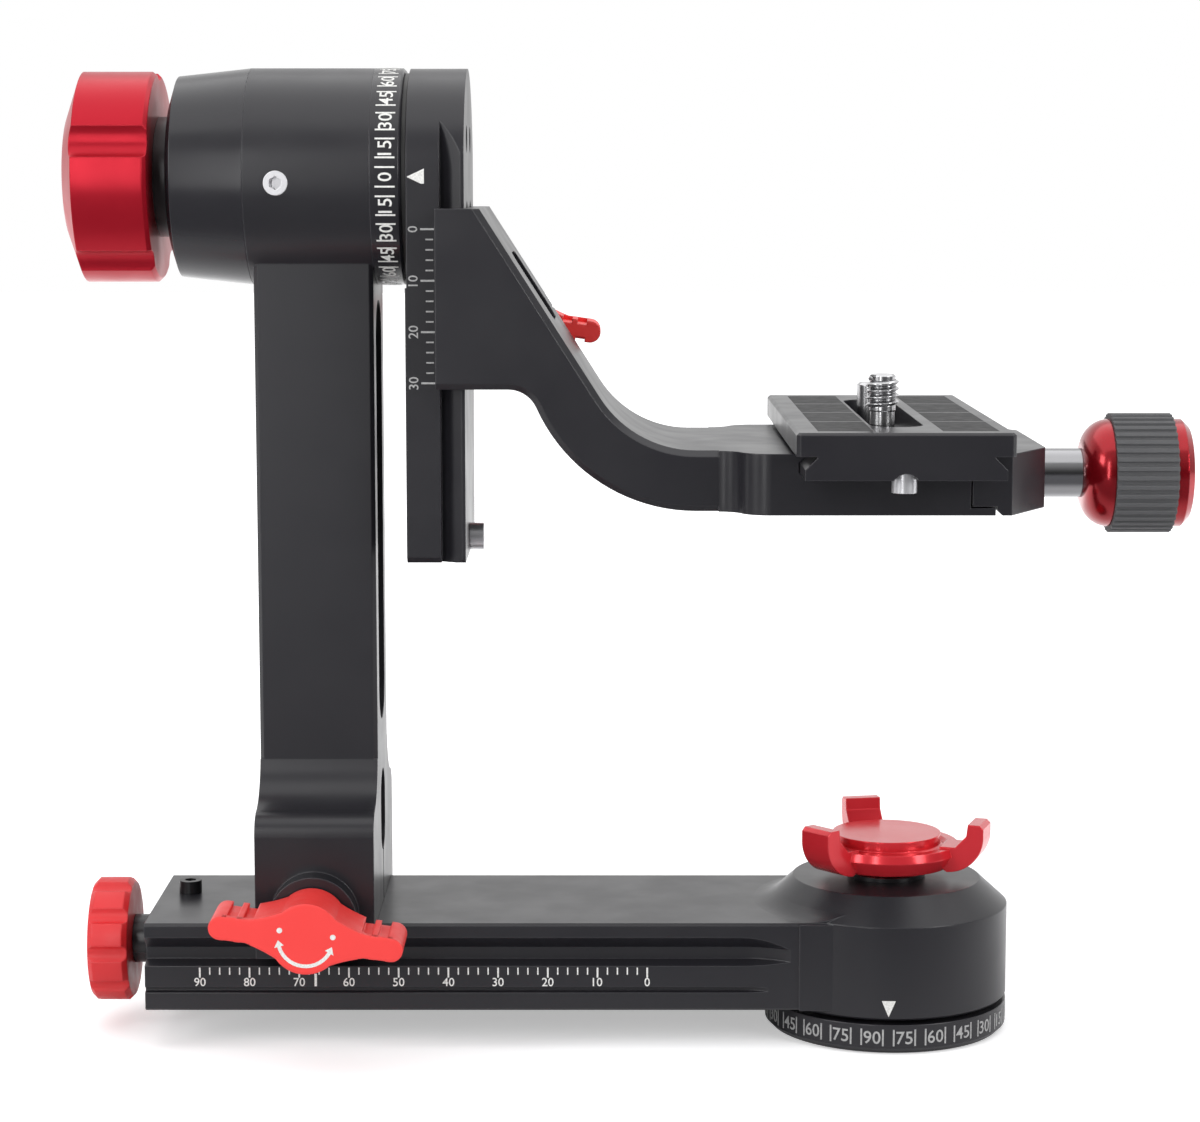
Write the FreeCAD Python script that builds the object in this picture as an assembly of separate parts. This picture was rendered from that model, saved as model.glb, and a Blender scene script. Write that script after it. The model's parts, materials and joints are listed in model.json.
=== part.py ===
import FreeCAD, Part
import math
import os

# Gimbal tripod head, millimetres.
# +X runs from the knobs of the tilt axis towards the camera plate, +Y is the lens's line, +Z is up.
# The origin is on the pan axis, at the underside of the base disc.

V = FreeCAD.Vector

# ---------------------------------------------------------------- fits
SLIDE_GAP = 0.10          # between flat faces that slide on each other
RUN_GAP = 0.05            # on the radius, between a shaft and its running bore
BEARING_GAP = 0.03        # on the radius, between a spindle and its bearing's bore
FREE_GAP = 0.30           # between pieces that pass without touching
THREAD_GAP = 0.05         # on the radius, between a turning screw and its tapped hole
EDGE_CHAMFER = 0.5        # broken edge of a turned or milled piece

# ---------------------------------------------------------------- pan base
BASE_R = 24.9
BASE_H = 6.0
BASE_CHAMFER = 1.2
TRIPOD_TAP_R = 4.1        # tapped wall of the 3/8"-16 socket
TRIPOD_TAP_DEPTH = 10.5
BUSH_R = 6.5

SPINDLE_R = 9.0           # both spindles run in the same bearing size
SPINDLE_FLANGE_R = 13.0
PAN_FLANGE_H = 3.2
SPINDLE_SCREW_R = 1.5
SPINDLE_SCREW_HEAD_R = 2.9
SPINDLE_SCREW_CONE = 1.6
SPINDLE_SCREW_PCR = 10.6
SPINDLE_SCREW_COUNT = 4
SPINDLE_SCREW_TIP = 0.8   # metal left beyond the tip of a screw in the flange

BEARING_R = 15.0
BEARING_W = 3.5
BEARING_SEAT_W = 1.6      # radial width of a spacer between two bearings
CIRCLIP_H = 1.0
CIRCLIP_SINK = 0.8
CIRCLIP_OUT = 1.4
CIRCLIP_MOUTH = 5.0
SPINDLE_TOP_ABOVE_CLIP = 0.5

# ---------------------------------------------------------------- rail and pan housing
HOUSING_R = BASE_R        # flush with the base disc
HOUSING_GAP = 0.9         # visible gap over the base disc
HOUSING_TOP_R = 19.3
CONE_H = 5.1
CONE_ROOT_REACH = 2.7     # the hollow round between the cone and the rail's top, out from the cone
CHEEK_REACH = 19.3        # the housing's flat cheeks end this far from the pan axis
CHEEK_STEP = 0.3          # cheek proud of the rail's side
RETAINER_R = 17.5
RETAINER_GAP = 0.4        # round the spindle's flange
CAVITY_R = 12.5
ROOF_CLEAR = 0.5          # over the lock's pad

RAIL_GAP = 2.0            # rail's underside above the base disc
RAIL_H = 17.9
RAIL_REACH = 151.0        # rail's end from the pan axis
RAIL_HALF_W = 21.2
DOVETAIL_MOUTH_TOP = 2.85 # these four heights are measured down from the rail's top
DOVETAIL_FLOOR_TOP = 5.5
DOVETAIL_FLOOR_BOTTOM = 7.9
DOVETAIL_MOUTH_BOTTOM = 8.7
DOVETAIL_DEPTH = 3.0
LOWER_GROOVE_TOP = 13.05
LOWER_GROOVE_W = 1.15
LOWER_GROOVE_DEPTH = 1.0
GROOVE_FLANK = 0.25
GROOVE_END = 31.0         # from the pan axis, where the side cutter stops and leaves its round run-out
SIDE_CUTTER_R = 18.0

RAIL_SCREW_IN = 5.8       # in from the rail's end
RAIL_SCREW_Y = 5.5
STOP_SCREW_R = 1.5
RAIL_SCREW_HEAD_R = 2.35
RAIL_SCREW_HEAD_H = 2.7
RAIL_SCREW_LENGTH = 4.6
HEX_SINK = 1.4
HEX_SHARE = 0.55          # across-corners radius of a hex socket, as a share of its head

# ---------------------------------------------------------------- pan lock
LOCK_STUD_R = 4.0
LOCK_PAD_R = 6.0
LOCK_PAD_H = 1.8
LOCK_WASHER_R = 8.0
LOCK_WASHER_H = 0.9
LOCK_FOOT_R = 6.5
LOCK_FOOT_H = 0.6         # the heights from here on are above this foot's top
LOCK_BOWL_FOOT_R = 8.0
LOCK_BELLY = (13.0, 1.0)
LOCK_BOWL = (15.0, 3.9)
LOCK_RIM = (14.6, 5.6)
LOCK_RIM_W = 2.0
LOCK_GROOVE = (12.0, 5.0)
LOCK_DISC_R = 11.1
LOCK_DISC_FOOT = 5.5
LOCK_DISC_TOP = 7.6
LOCK_ARM_COUNT = 3
LOCK_ARM_START_DEG = 101.0
LOCK_ARM_R = 21.0
LOCK_ARM_W = 7.5
LOCK_ARM_TOP = 10.9
LOCK_ARM_T = 3.2
LOCK_ARM_ROOT = (13.5, 0.8)
LOCK_ARM_BEND = (18.8, 3.0)
LOCK_ARM_HEIGHT = 2.4     # straight part of the arm's outer face
LOCK_ARM_CHAMFER = 0.8
LOCK_ARM_SEAT = (15.2, 6.0)

# ---------------------------------------------------------------- pan drag
DRAG_UP = 9.5             # drag rod's axis above the rail's underside
DRAG_ROD_R = 2.5
DRAG_BORE_R = 3.0
DRAG_WALL = 0.5           # metal between the drag bore and the upper bearing
DRAG_SHOE_R = 2.8
DRAG_SHOE_L = 7.85
DRAG_SHOE_GAP = 0.15
DRAG_KNOB_R = 12.7
DRAG_KNOB_L = 8.1
DRAG_FLUTES = 10
DRAG_FLUTE_START_DEG = 181.0
DRAG_FLUTE_R = 1.9
DRAG_FLUTE_DEPTH = 1.1
DRAG_BUSH_FLANGE_R = 5.0
DRAG_BUSH_FLANGE_L = 5.0
DRAG_BUSH_R = 4.3
DRAG_BUSH_DEPTH = 8.0

# ---------------------------------------------------------------- upright
UPRIGHT_REACH = 116.15    # middle of the upright from the pan axis
ARM_T = 23.7
ARM_HALF_W = 13.3
FOOT_HALF_W = 26.0
FLARE_TOP = 32.1          # the foot's heights are measured from the rail's top
FLARE_MID = (2.6, 26.7)   # out from the arm's side, up
FLARE_END = (8.3, 23.3)
SHOULDER_MID = (1.1, 21.7) # in from the foot's side, up
SHOULDER = 18.7
FOOT_JAW_DROP = 5.9
FOOT_HOOK_CLEAR = 0.2
FOOT_HOOK_REACH = 2.6
FOOT_SLIT_W = 1.4
FOOT_SLIT_EYE_R = 2.5
FOOT_SLIT_TOP = 14.1
POCKET_HALF_W = 7.5
POCKET_DEPTH = 15.0
POCKET_BOTTOM = 38.1
POCKET_TOP_LAND = 3.0     # metal between the pocket and the hub
FOOT_POCKET_HALF_W = 5.5
FOOT_POCKET_DEPTH = 7.0
FOOT_POCKET_BOTTOM = 10.6
FOOT_POCKET_TOP = 27.6
ARM_EDGE = 0.8

TILT_RISE = 148.7         # tilt axis above the rail's top
HUB_R = 21.6
HUB_STEP = 1.0            # hub proud of the arm's outer face
CAP_L = 14.5
CAP_NOSE = 1.3
CAP_END_R = 16.0
CAP_SHOULDER_R = 20.0
CAP_SPIGOT = 9.0
CAP_SPIGOT_WALL = 2.1
CAP_BORE_GAP = 0.4
SET_SCREW_IN = 6.5        # in from the hub's outer face
SET_SCREW_DROP = 1.2
SET_SCREW_R = 2.4
SCALE_RING_W = 6.1
SCALE_RING_BORE_R = 14.0

WING_STUD_R = 2.5
RAIL_CLAMP_UP = 3.0       # clamp's stud above the rail's top
FOOT_BOSS_R = 8.8
FOOT_BOSS_H = 5.0
INSERT_R = 4.0
INSERT_IN = 0.5           # insert's inner end, back from the foot's inner face
INSERT_FLANGE_R = 5.5
INSERT_FLANGE_T = 1.5
STUD_SHORT = 2.0          # rail clamp's stud ends this much inside the foot

# ---------------------------------------------------------------- wing knobs (rail and bracket)
WING_T = 13.0
WING_DISC_R = 6.95
WING_REACH = 18.9
WING_HALF_H = 2.3
WING_ROOT_U = 11.5
WING_ROOT_MID = (8.2, 3.3)
WING_ROOT_END_DEG = 41.5
WING_GROOVES = 2          # two grooves leave three ridges on each face of a wing
WING_GROOVE_PITCH = 3.2
WING_GROOVE_W = 2.0
WING_GROOVE_DEPTH = 0.9
WING_BOSS_R = 5.6
WING_WASHER_R = 6.6
WING_WASHER_T = 0.7
RAIL_WING_TILT_DEG = -7.6

# ---------------------------------------------------------------- tilt lock
TILT_KNOB_R = 21.0
TILT_KNOB_L = 17.7
TILT_LOBES = 5
TILT_GROOVE_START_DEG = 19.4
TILT_GROOVE_R = 4.2
TILT_GROOVE_DEPTH = 1.8
TILT_CHAMFER_X = 3.0
TILT_CHAMFER_R = 8.0
TILT_INNER_CHAMFER = 0.8
TILT_COLLAR_L = 3.0
TILT_COLLAR_R = 12.0
TILT_STUD_R = 6.0
TILT_STUD_DEPTH = 12.0

# ---------------------------------------------------------------- swing arm
HEAD_GAP = 1.0            # visible gap between the degree ring and the arm's head
SWING_STEP = 0.3          # plate proud of the head
SWING_T = 11.6
SWING_HALF_W = 21.5
SWING_DROP = 75.7         # plate's end below the tilt axis
SWING_BOTTOM_CHAMFER = 1.2
SWING_RIM_T = 6.8         # full-width part of the plate's edge
SWING_ROOT_IN = 3.0       # dovetail's root, in from the full width
SWING_FACE_IN = 0.5       # dovetail's outer edge, in from the full width
SWING_FACE_T = 0.7        # flat edge beside the front face
SWING_SPIGOT_R = 8.0
SWING_SPIGOT_DEPTH = 4.0
TILT_FLANGE_GAP = 0.9
RACE_SHOULDER_R = 10.4    # bears on the bearing's inner race only
HEAD_SCREW_HEAD_R = 2.75
HEAD_SCREW_HEAD_H = 3.0
HEAD_SCREW_SINK = 0.5
HEAD_SCREW_LENGTH = 13.0
SWING_SCREW_UP = 2.9      # above the plate's end
SWING_SCREW_HEAD_R = 2.75
SWING_SCREW_HEAD_H = 2.8
SWING_SCREW_LENGTH = 6.0

# ---------------------------------------------------------------- lens bracket
BRACKET_LIP = 0.6         # bracket's side walls run this far past the dovetail's root
BRACKET_WALL = 6.4
BRACKET_TOP_DROP = 6.1    # below the tilt axis
BRACKET_TOP_T = 3.2
BRACKET_CHANNEL_L = 34.9
BRACKET_SLOPE_DEG = 57.4
BRACKET_DECK_DROP = 46.7  # deck below the bracket's top
BRACKET_T = 11.9
BEND_IN_R = 22.1
HEEL_FILLET_R = 6.0
HOOK_CLEAR = 0.3
HOOK_ROOT = 0.5           # how far a hook is let into its wall
BRACKET_CHAMFER = 1.2
SLOPE_POCKET_START = 10.5 # along the slope, from its top edge
SLOPE_POCKET_LENGTH = 16.0
SLOPE_POCKET_DEPTH = 9.0
SLOPE_POCKET_Y = (-9.0, 11.0)
SLOPE_POCKET_ROUND = 3.0

BRACKET_CLAMP_OUT = 7.9   # clamp's stud out from the swing plate's face
BRACKET_CLAMP_UP = 10.4   # and above the channel's end
BRACKET_JAW_OUT = 16.4
BRACKET_STUD_DEPTH = 8.5
BRACKET_BOSS_H = 6.0
BRACKET_WING_TILT_DEG = -8.0

# ---------------------------------------------------------------- camera clamp
PLATE_REACH = 83.9        # plate's middle out from the swing plate's face
FLARE_BEFORE = 34.3       # start of the clamp's flare, back from the plate's middle
FLARE_IN_R = 4.5
FLARE_OUT_R = 6.0
CLAMP_HALF_L = 34.7
CLAMP_BODY_OUT = 14.0     # these reach out from the plate's middle
CLAMP_LIP_OUT = 18.8
JAW_CORNER_OUT = 21.9
JAW_OUT = 30.3
JAW_FACE_HALF_L = 20.0
JAW_CHAMFER = 1.0
CLAMP_LIP_T = 1.45
CLAMP_SCREW_UP = 4.9      # above the clamp's underside
CLAMP_SCREW_R = 2.5
CLAMP_SCREW_START = 6.0   # screw's tip, back from the plate's middle
GUIDE_PIN_R = 2.0
GUIDE_PIN_Y = 24.0
GUIDE_PIN_START = 2.0
GUIDE_PIN_OUT = 24.0

CLAMP_SLEEVE_R = 5.0
CLAMP_SLEEVE_L = 10.2
CLAMP_KNOB_ROOT = 4.0     # depth of the screw's end in the knob
CLAMP_DOME_L = 5.7
CLAMP_DOME_R = 11.0
CLAMP_DOME_ROOT_R = 5.6
CLAMP_DOME_MID = (1.7, 9.3)
GRIP_R = 12.15
GRIP_BORE_R = 9.8
GRIP_L = 12.4
GRIP_RIBS = 40
GRIP_RIB_DEPTH = 0.55
CLAMP_CAP_L = 3.5
CLAMP_CAP_R = 11.0
CLAMP_CAP_CHAMFER = 1.4

# ---------------------------------------------------------------- camera plate
PLATE_SINK = 3.7          # plate's underside below the clamp's deck
PLATE_HALF_L = 49.5
PLATE_FLANGE_HALF_W = 19.0
PLATE_FLANGE_EDGE_H = 2.0
PLATE_NECK_STEP = 2.3
PLATE_SLAB_HALF_W = 20.6
PLATE_SLAB_GAP = 0.8      # slab's underside above the deck
PLATE_SLAB_T = 4.5
PLATE_EDGE = 0.5
PLATE_CORNER = 0.7
SLOT_OFFSET = -0.2        # slot's middle from the plate's middle
SLOT_HALF_W = 5.2
SLOT_END_IN = 13.5        # slot's end in from the plate's end
SLOT_RECESS_HALF_W = 8.6
SLOT_RECESS_STEP = 4.0    # recess past the slot's end
SLOT_ROOF = 4.3           # metal over the recess
PAD_T = 0.8
PAD_ROWS = 4
PAD_ROW_GAP = 1.0
PAD_COLUMNS = ((-16.4, -5.9), (7.2, 17.9))
PAD_END_MARGIN = 4.0
CAMERA_SCREW_OFFSET = -2.7
CAMERA_SCREW_IN = 21.0    # in from the plate's front end
CAMERA_SCREW_R = 3.175
CAMERA_SCREW_PROUD = 9.7
CAMERA_SCREW_NECK_R = 2.4
CAMERA_SCREW_NECK_PROUD = 2.5
CAMERA_SCREW_HEAD_R = 5.6
CAMERA_SCREW_HEAD_H = 3.2
CAMERA_WASHER_T = 0.8
CAMERA_WASHER_R = 5.9
TWIST_PIN_OFFSET = -1.1
TWIST_PIN_IN = 32.5       # in from the plate's rear end
TWIST_PIN_R = 2.6
TWIST_PIN_PROUD = 5.0
TWIST_PIN_FLANGE_R = 7.5
TWIST_PIN_FLANGE_H = 2.5
PLATE_STOP_IN = 4.0       # stop screw in from the plate's end
PLATE_STOP_HEAD_R = 2.4
PLATE_STOP_HEAD_H = 4.0
PLATE_STOP_SINK = 1.4     # of the head, in the plate
PLATE_STOP_SHANK_L = 5.0
PLATE_NOTCH_R = 2.8
PLATE_NOTCH_DROP = 1.5    # arch's centre below the plate


# ---------------------------------------------------------------- places that follow from the sizes
PAN_FLANGE_TOP_Z = BASE_H + PAN_FLANGE_H
LOWER_BEARING_TOP_Z = PAN_FLANGE_TOP_Z + BEARING_W
RAIL_BOTTOM_Z = BASE_H + RAIL_GAP
RAIL_TOP_Z = RAIL_BOTTOM_Z + RAIL_H
DRAG_Z = RAIL_BOTTOM_Z + DRAG_UP
UPPER_BEARING_Z = DRAG_Z + DRAG_BORE_R + DRAG_WALL
UPPER_BEARING_TOP_Z = UPPER_BEARING_Z + BEARING_W
CLIP_TOP_Z = UPPER_BEARING_TOP_Z + CIRCLIP_H
SPINDLE_TOP_Z = CLIP_TOP_Z + SPINDLE_TOP_ABOVE_CLIP
LOCK_PAD_Z = SPINDLE_TOP_Z + SLIDE_GAP
LOCK_PAD_TOP_Z = LOCK_PAD_Z + LOCK_PAD_H
ROOF_Z = LOCK_PAD_TOP_Z + ROOF_CLEAR
HOUSING_BOTTOM_Z = BASE_H + HOUSING_GAP
HOUSING_TOP_Z = RAIL_TOP_Z + CONE_H
LOCK_WASHER_TOP_Z = HOUSING_TOP_Z + LOCK_WASHER_H
LOCK_BOWL_Z = LOCK_WASHER_TOP_Z + SLIDE_GAP + LOCK_FOOT_H
LOCK_STUD_TOP_Z = LOCK_BOWL_Z + LOCK_BOWL[1]

RAIL_END_X = -RAIL_REACH
RAIL_SCREW_X = RAIL_END_X + RAIL_SCREW_IN
DOVETAIL_FLOOR_Y = RAIL_HALF_W - DOVETAIL_DEPTH
DRAG_SHOE_INNER_X = -SPINDLE_R - DRAG_SHOE_GAP
DRAG_SHOE_X = DRAG_SHOE_INNER_X - DRAG_SHOE_L
DRAG_ROD_TIP_X = DRAG_SHOE_X - SLIDE_GAP
DRAG_BUSH_X = RAIL_END_X - DRAG_BUSH_FLANGE_L
DRAG_KNOB_INNER_X = DRAG_BUSH_X - SLIDE_GAP
DRAG_KNOB_OUTER_X = DRAG_KNOB_INNER_X - DRAG_KNOB_L

RAIL_CLAMP_X = -UPRIGHT_REACH
ARM_LEFT_X = RAIL_CLAMP_X - ARM_T / 2
ARM_RIGHT_X = RAIL_CLAMP_X + ARM_T / 2
HUB_LEFT_X = ARM_LEFT_X - HUB_STEP
CAP_SHOULDER_X = HUB_LEFT_X - CAP_L
CAP_END_X = CAP_SHOULDER_X - CAP_NOSE
CAP_SPIGOT_END_X = HUB_LEFT_X + CAP_SPIGOT
LEFT_BEARING_END_X = CAP_SPIGOT_END_X + BEARING_W
RIGHT_BEARING_X = ARM_RIGHT_X - BEARING_W
TILT_KNOB_INNER_X = CAP_END_X - TILT_COLLAR_L
TILT_KNOB_OUTER_X = TILT_KNOB_INNER_X - TILT_KNOB_L
COLLAR_RIGHT_X = CAP_END_X - SLIDE_GAP
SET_SCREW_X = HUB_LEFT_X + SET_SCREW_IN
SCALE_RING_END_X = ARM_RIGHT_X + SCALE_RING_W
TILT_Z = RAIL_TOP_Z + TILT_RISE
SET_SCREW_Z = TILT_Z - SET_SCREW_DROP
RAIL_CLAMP_Z = RAIL_TOP_Z + RAIL_CLAMP_UP
FOOT_INNER_Y = RAIL_HALF_W + SLIDE_GAP
FOOT_BOSS_Y = -FOOT_HALF_W - FOOT_BOSS_H
WING_FRONT_Y = FOOT_BOSS_Y - WING_WASHER_T - SLIDE_GAP

HEAD_LEFT_X = SCALE_RING_END_X + HEAD_GAP
SWING_LEFT_X = HEAD_LEFT_X - SWING_STEP
SWING_RIGHT_X = SWING_LEFT_X + SWING_T
SWING_ROOT_X = SWING_LEFT_X + SWING_RIM_T
SWING_FACE_X = SWING_RIGHT_X - SWING_FACE_T
SWING_ROOT_Y = SWING_HALF_W - SWING_ROOT_IN
SWING_BOTTOM_Z = TILT_Z - SWING_DROP
SWING_SCREW_Z = SWING_BOTTOM_Z + SWING_SCREW_UP
TILT_FLANGE_LEFT_X = ARM_RIGHT_X + TILT_FLANGE_GAP
HEAD_SCREW_SEAT_X = SWING_RIGHT_X - HEAD_SCREW_SINK - HEAD_SCREW_HEAD_H
HEAD_SCREW_TIP_X = HEAD_SCREW_SEAT_X - HEAD_SCREW_LENGTH

BRACKET_LEFT_X = SWING_ROOT_X - BRACKET_LIP
BRACKET_TOP_X = SWING_RIGHT_X + BRACKET_TOP_T
BRACKET_TOP_Z = TILT_Z - BRACKET_TOP_DROP
BRACKET_CHANNEL_BOTTOM_Z = BRACKET_TOP_Z - BRACKET_CHANNEL_L
BRACKET_DECK_Z = BRACKET_TOP_Z - BRACKET_DECK_DROP
BRACKET_BOTTOM_Z = BRACKET_DECK_Z - BRACKET_T
BEND_Z = BRACKET_DECK_Z + BEND_IN_R
BEND_OUT_R = BEND_IN_R + BRACKET_T
CHANNEL_HALF_W = SWING_HALF_W + SLIDE_GAP
CHANNEL_FACE_X = SWING_RIGHT_X + SLIDE_GAP
BRACKET_HALF_W = CHANNEL_HALF_W + BRACKET_WALL
JAW_Y = CHANNEL_HALF_W + HOOK_CLEAR
BRACKET_CLAMP_X = SWING_RIGHT_X + BRACKET_CLAMP_OUT
BRACKET_CLAMP_Z = BRACKET_CHANNEL_BOTTOM_Z + BRACKET_CLAMP_UP
BRACKET_JAW_RIGHT_X = SWING_RIGHT_X + BRACKET_JAW_OUT
BRACKET_WING_Y = BRACKET_HALF_W + BRACKET_BOSS_H

PLATE_MID_X = SWING_RIGHT_X + PLATE_REACH
FLARE_START_X = PLATE_MID_X - FLARE_BEFORE
CLAMP_BODY_RIGHT_X = PLATE_MID_X + CLAMP_BODY_OUT
CLAMP_LIP_RIGHT_X = PLATE_MID_X + CLAMP_LIP_OUT
CLAMP_LIP_TOP_Z = BRACKET_BOTTOM_Z + CLAMP_LIP_T
JAW_CORNER_X = PLATE_MID_X + JAW_CORNER_OUT
JAW_RIGHT_X = PLATE_MID_X + JAW_OUT
TONGUE_X = CLAMP_BODY_RIGHT_X + FREE_GAP
CLAMP_SCREW_Z = BRACKET_BOTTOM_Z + CLAMP_SCREW_UP
CLAMP_SCREW_END_X = PLATE_MID_X - CLAMP_SCREW_START
GUIDE_PIN_END_X = PLATE_MID_X - GUIDE_PIN_START
GUIDE_PIN_TIP_X = PLATE_MID_X + GUIDE_PIN_OUT
CLAMP_SLEEVE_END_X = JAW_RIGHT_X + CLAMP_SLEEVE_L
CLAMP_KNOB_ROOT_X = CLAMP_SLEEVE_END_X + CLAMP_KNOB_ROOT
CLAMP_DOME_END_X = CLAMP_SLEEVE_END_X + CLAMP_DOME_L
GRIP_END_X = CLAMP_DOME_END_X + GRIP_L
CLAMP_CAP_END_X = GRIP_END_X + CLAMP_CAP_L

PLATE_BOTTOM_Z = BRACKET_DECK_Z - PLATE_SINK
BED_Z = PLATE_BOTTOM_Z - SLIDE_GAP
FLANGE_KNEE_Z = PLATE_BOTTOM_Z + PLATE_FLANGE_EDGE_H
NECK_Z = FLANGE_KNEE_Z + PLATE_NECK_STEP
PLATE_NECK_HALF_W = PLATE_FLANGE_HALF_W - PLATE_NECK_STEP
PLATE_SLAB_Z = max(BRACKET_DECK_Z + PLATE_SLAB_GAP, NECK_Z)
PLATE_TOP_Z = PLATE_SLAB_Z + PLATE_SLAB_T
SIDE_CLEAR = SLIDE_GAP * math.sqrt(2.0)
SLOT_MID_X = PLATE_MID_X + SLOT_OFFSET
SLOT_HALF_L = PLATE_HALF_L - SLOT_END_IN
SLOT_RECESS_HALF_L = SLOT_HALF_L + SLOT_RECESS_STEP
RECESS_TOP_Z = PLATE_TOP_Z - SLOT_ROOF
CAMERA_SCREW_X = PLATE_MID_X + CAMERA_SCREW_OFFSET
CAMERA_SCREW_Y = CAMERA_SCREW_IN - PLATE_HALF_L
CAMERA_SCREW_TOP_Z = PLATE_TOP_Z + CAMERA_SCREW_PROUD
CAMERA_SCREW_NECK_Z = PLATE_TOP_Z + CAMERA_SCREW_NECK_PROUD
TWIST_PIN_X = PLATE_MID_X + TWIST_PIN_OFFSET
TWIST_PIN_Y = PLATE_HALF_L - TWIST_PIN_IN
TWIST_PIN_TOP_Z = PLATE_TOP_Z + TWIST_PIN_PROUD
PLATE_STOP_Y = PLATE_HALF_L - PLATE_STOP_IN
PLATE_STOP_SEAT_Z = PLATE_BOTTOM_Z + PLATE_STOP_SINK


# ---------------------------------------------------------------- shaping helpers
def place(u, v, w, plane):
    """A point with u, v in the named plane and w along its normal."""
    if plane == "XY":
        return V(u, v, w)
    if plane == "XZ":
        return V(u, w, v)
    return V(w, u, v)


AXIS = {"XY": V(0, 0, 1), "XZ": V(0, 1, 0), "YZ": V(1, 0, 0)}


def outline_face(points, plane, level):
    """A face from points: (u, v) is a straight run, (mid_u, mid_v, u, v) an arc through mid."""
    edges = []
    first = place(points[0][0], points[0][1], level, plane)
    last = first
    for point in points[1:]:
        end = place(point[-2], point[-1], level, plane)
        if len(point) == 4:
            middle = place(point[0], point[1], level, plane)
            edges.append(Part.Arc(last, middle, end).toShape())
        else:
            edges.append(Part.makeLine(last, end))
        last = end
    if last.distanceToPoint(first) > 1e-6:
        edges.append(Part.makeLine(last, first))
    return Part.Face(Part.Wire(edges))


def prism(points, plane, start, end):
    """The outline pushed along the plane's normal from start to end."""
    return outline_face(points, plane, start).extrude(AXIS[plane] * (end - start))


def block(x, y, z):
    """A box from three (low, high) pairs."""
    return Part.makeBox(x[1] - x[0], y[1] - y[0], z[1] - z[0], V(x[0], y[0], z[0]))


def rod(radius, start, end, plane, u=0.0, v=0.0):
    """A cylinder along the plane's normal, centred at u, v in the plane."""
    return Part.makeCylinder(radius, end - start, place(u, v, start, plane), AXIS[plane])


def ring(radius, bore, start, end, plane, u=0.0, v=0.0):
    return rod(radius, start, end, plane, u, v).cut(rod(bore, start, end, plane, u, v))


def turned_z(points, x=0.0, y=0.0):
    """(radius, z) points turned about a vertical axis."""
    face = outline_face(points, "XZ", 0.0)
    solid = face.revolve(V(0, 0, 0), V(0, 0, 1), 360)
    solid.translate(V(x, y, 0))
    return solid


def turned_x(points, y=0.0, z=0.0):
    """(x, radius) points turned about an axis along X."""
    face = outline_face(points, "XZ", 0.0)
    solid = face.revolve(V(0, 0, 0), V(1, 0, 0), 360)
    solid.translate(V(0, y, z))
    return solid


def around(solid, centre, axis, count, start=0.0):
    """Copies of a solid, evenly spaced about an axis."""
    copies = []
    for index in range(count):
        copy = solid.copy()
        copy.rotate(centre, axis, start + index * 360.0 / count)
        copies.append(copy)
    return copies


def hex_socket(head_r, depth, start, plane, u, v):
    """The hex hole of a cap screw, from its head's face inwards (a negative depth goes down)."""
    radius = head_r * HEX_SHARE
    corners = []
    for index in range(6):
        angle = math.radians(60.0 * index + 30.0)
        corners.append((u + radius * math.cos(angle), v + radius * math.sin(angle)))
    return prism(corners, plane, start, start + depth)


def cap_screw(head_r, head_h, shank_r, shank_l, seat, direction, plane, u, v):
    """A socket cap screw: its head stands on seat and its shank runs the other way."""
    top = seat + direction * head_h
    tip = seat - direction * shank_l
    head = rod(head_r, min(seat, top), max(seat, top), plane, u, v)
    shank = rod(shank_r, min(seat, tip), max(seat, tip), plane, u, v)
    return head.fuse(shank).cut(hex_socket(head_r, -direction * HEX_SINK, top, plane, u, v))


def chamfer_edges(solid, size, wanted):
    """Break the edges that the test picks."""
    edges = [edge for edge in solid.Edges if wanted(edge)]
    return solid.makeChamfer(size, edges)


def write(node, shape):
    shape.removeSplitter().exportStep("parts/" + node + ".step")


# ---------------------------------------------------------------- pan base
def spindle_screw_places():
    places = []
    for index in range(SPINDLE_SCREW_COUNT):
        angle = math.radians(45.0 + index * 360.0 / SPINDLE_SCREW_COUNT)
        places.append((SPINDLE_SCREW_PCR * math.cos(angle), SPINDLE_SCREW_PCR * math.sin(angle)))
    return places


def spindle_screw(x, y):
    tip = PAN_FLANGE_TOP_Z - SPINDLE_SCREW_TIP
    return turned_z([(0, 0), (SPINDLE_SCREW_HEAD_R, 0), (SPINDLE_SCREW_R, SPINDLE_SCREW_CONE),
                     (SPINDLE_SCREW_R, tip), (0, tip)], x, y)


def base_disc():
    disc = turned_z([(0, 0), (BASE_R - BASE_CHAMFER, 0), (BASE_R, BASE_CHAMFER),
                     (BASE_R, BASE_H), (0, BASE_H)])
    disc = disc.cut(rod(BUSH_R, 0, BASE_H, "XY"))
    for x, y in spindle_screw_places():
        disc = disc.cut(spindle_screw(x, y))
    return disc


def tripod_bush():
    bush = rod(BUSH_R, 0, TRIPOD_TAP_DEPTH, "XY")
    return bush.cut(rod(TRIPOD_TAP_R, 0, TRIPOD_TAP_DEPTH, "XY"))


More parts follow.
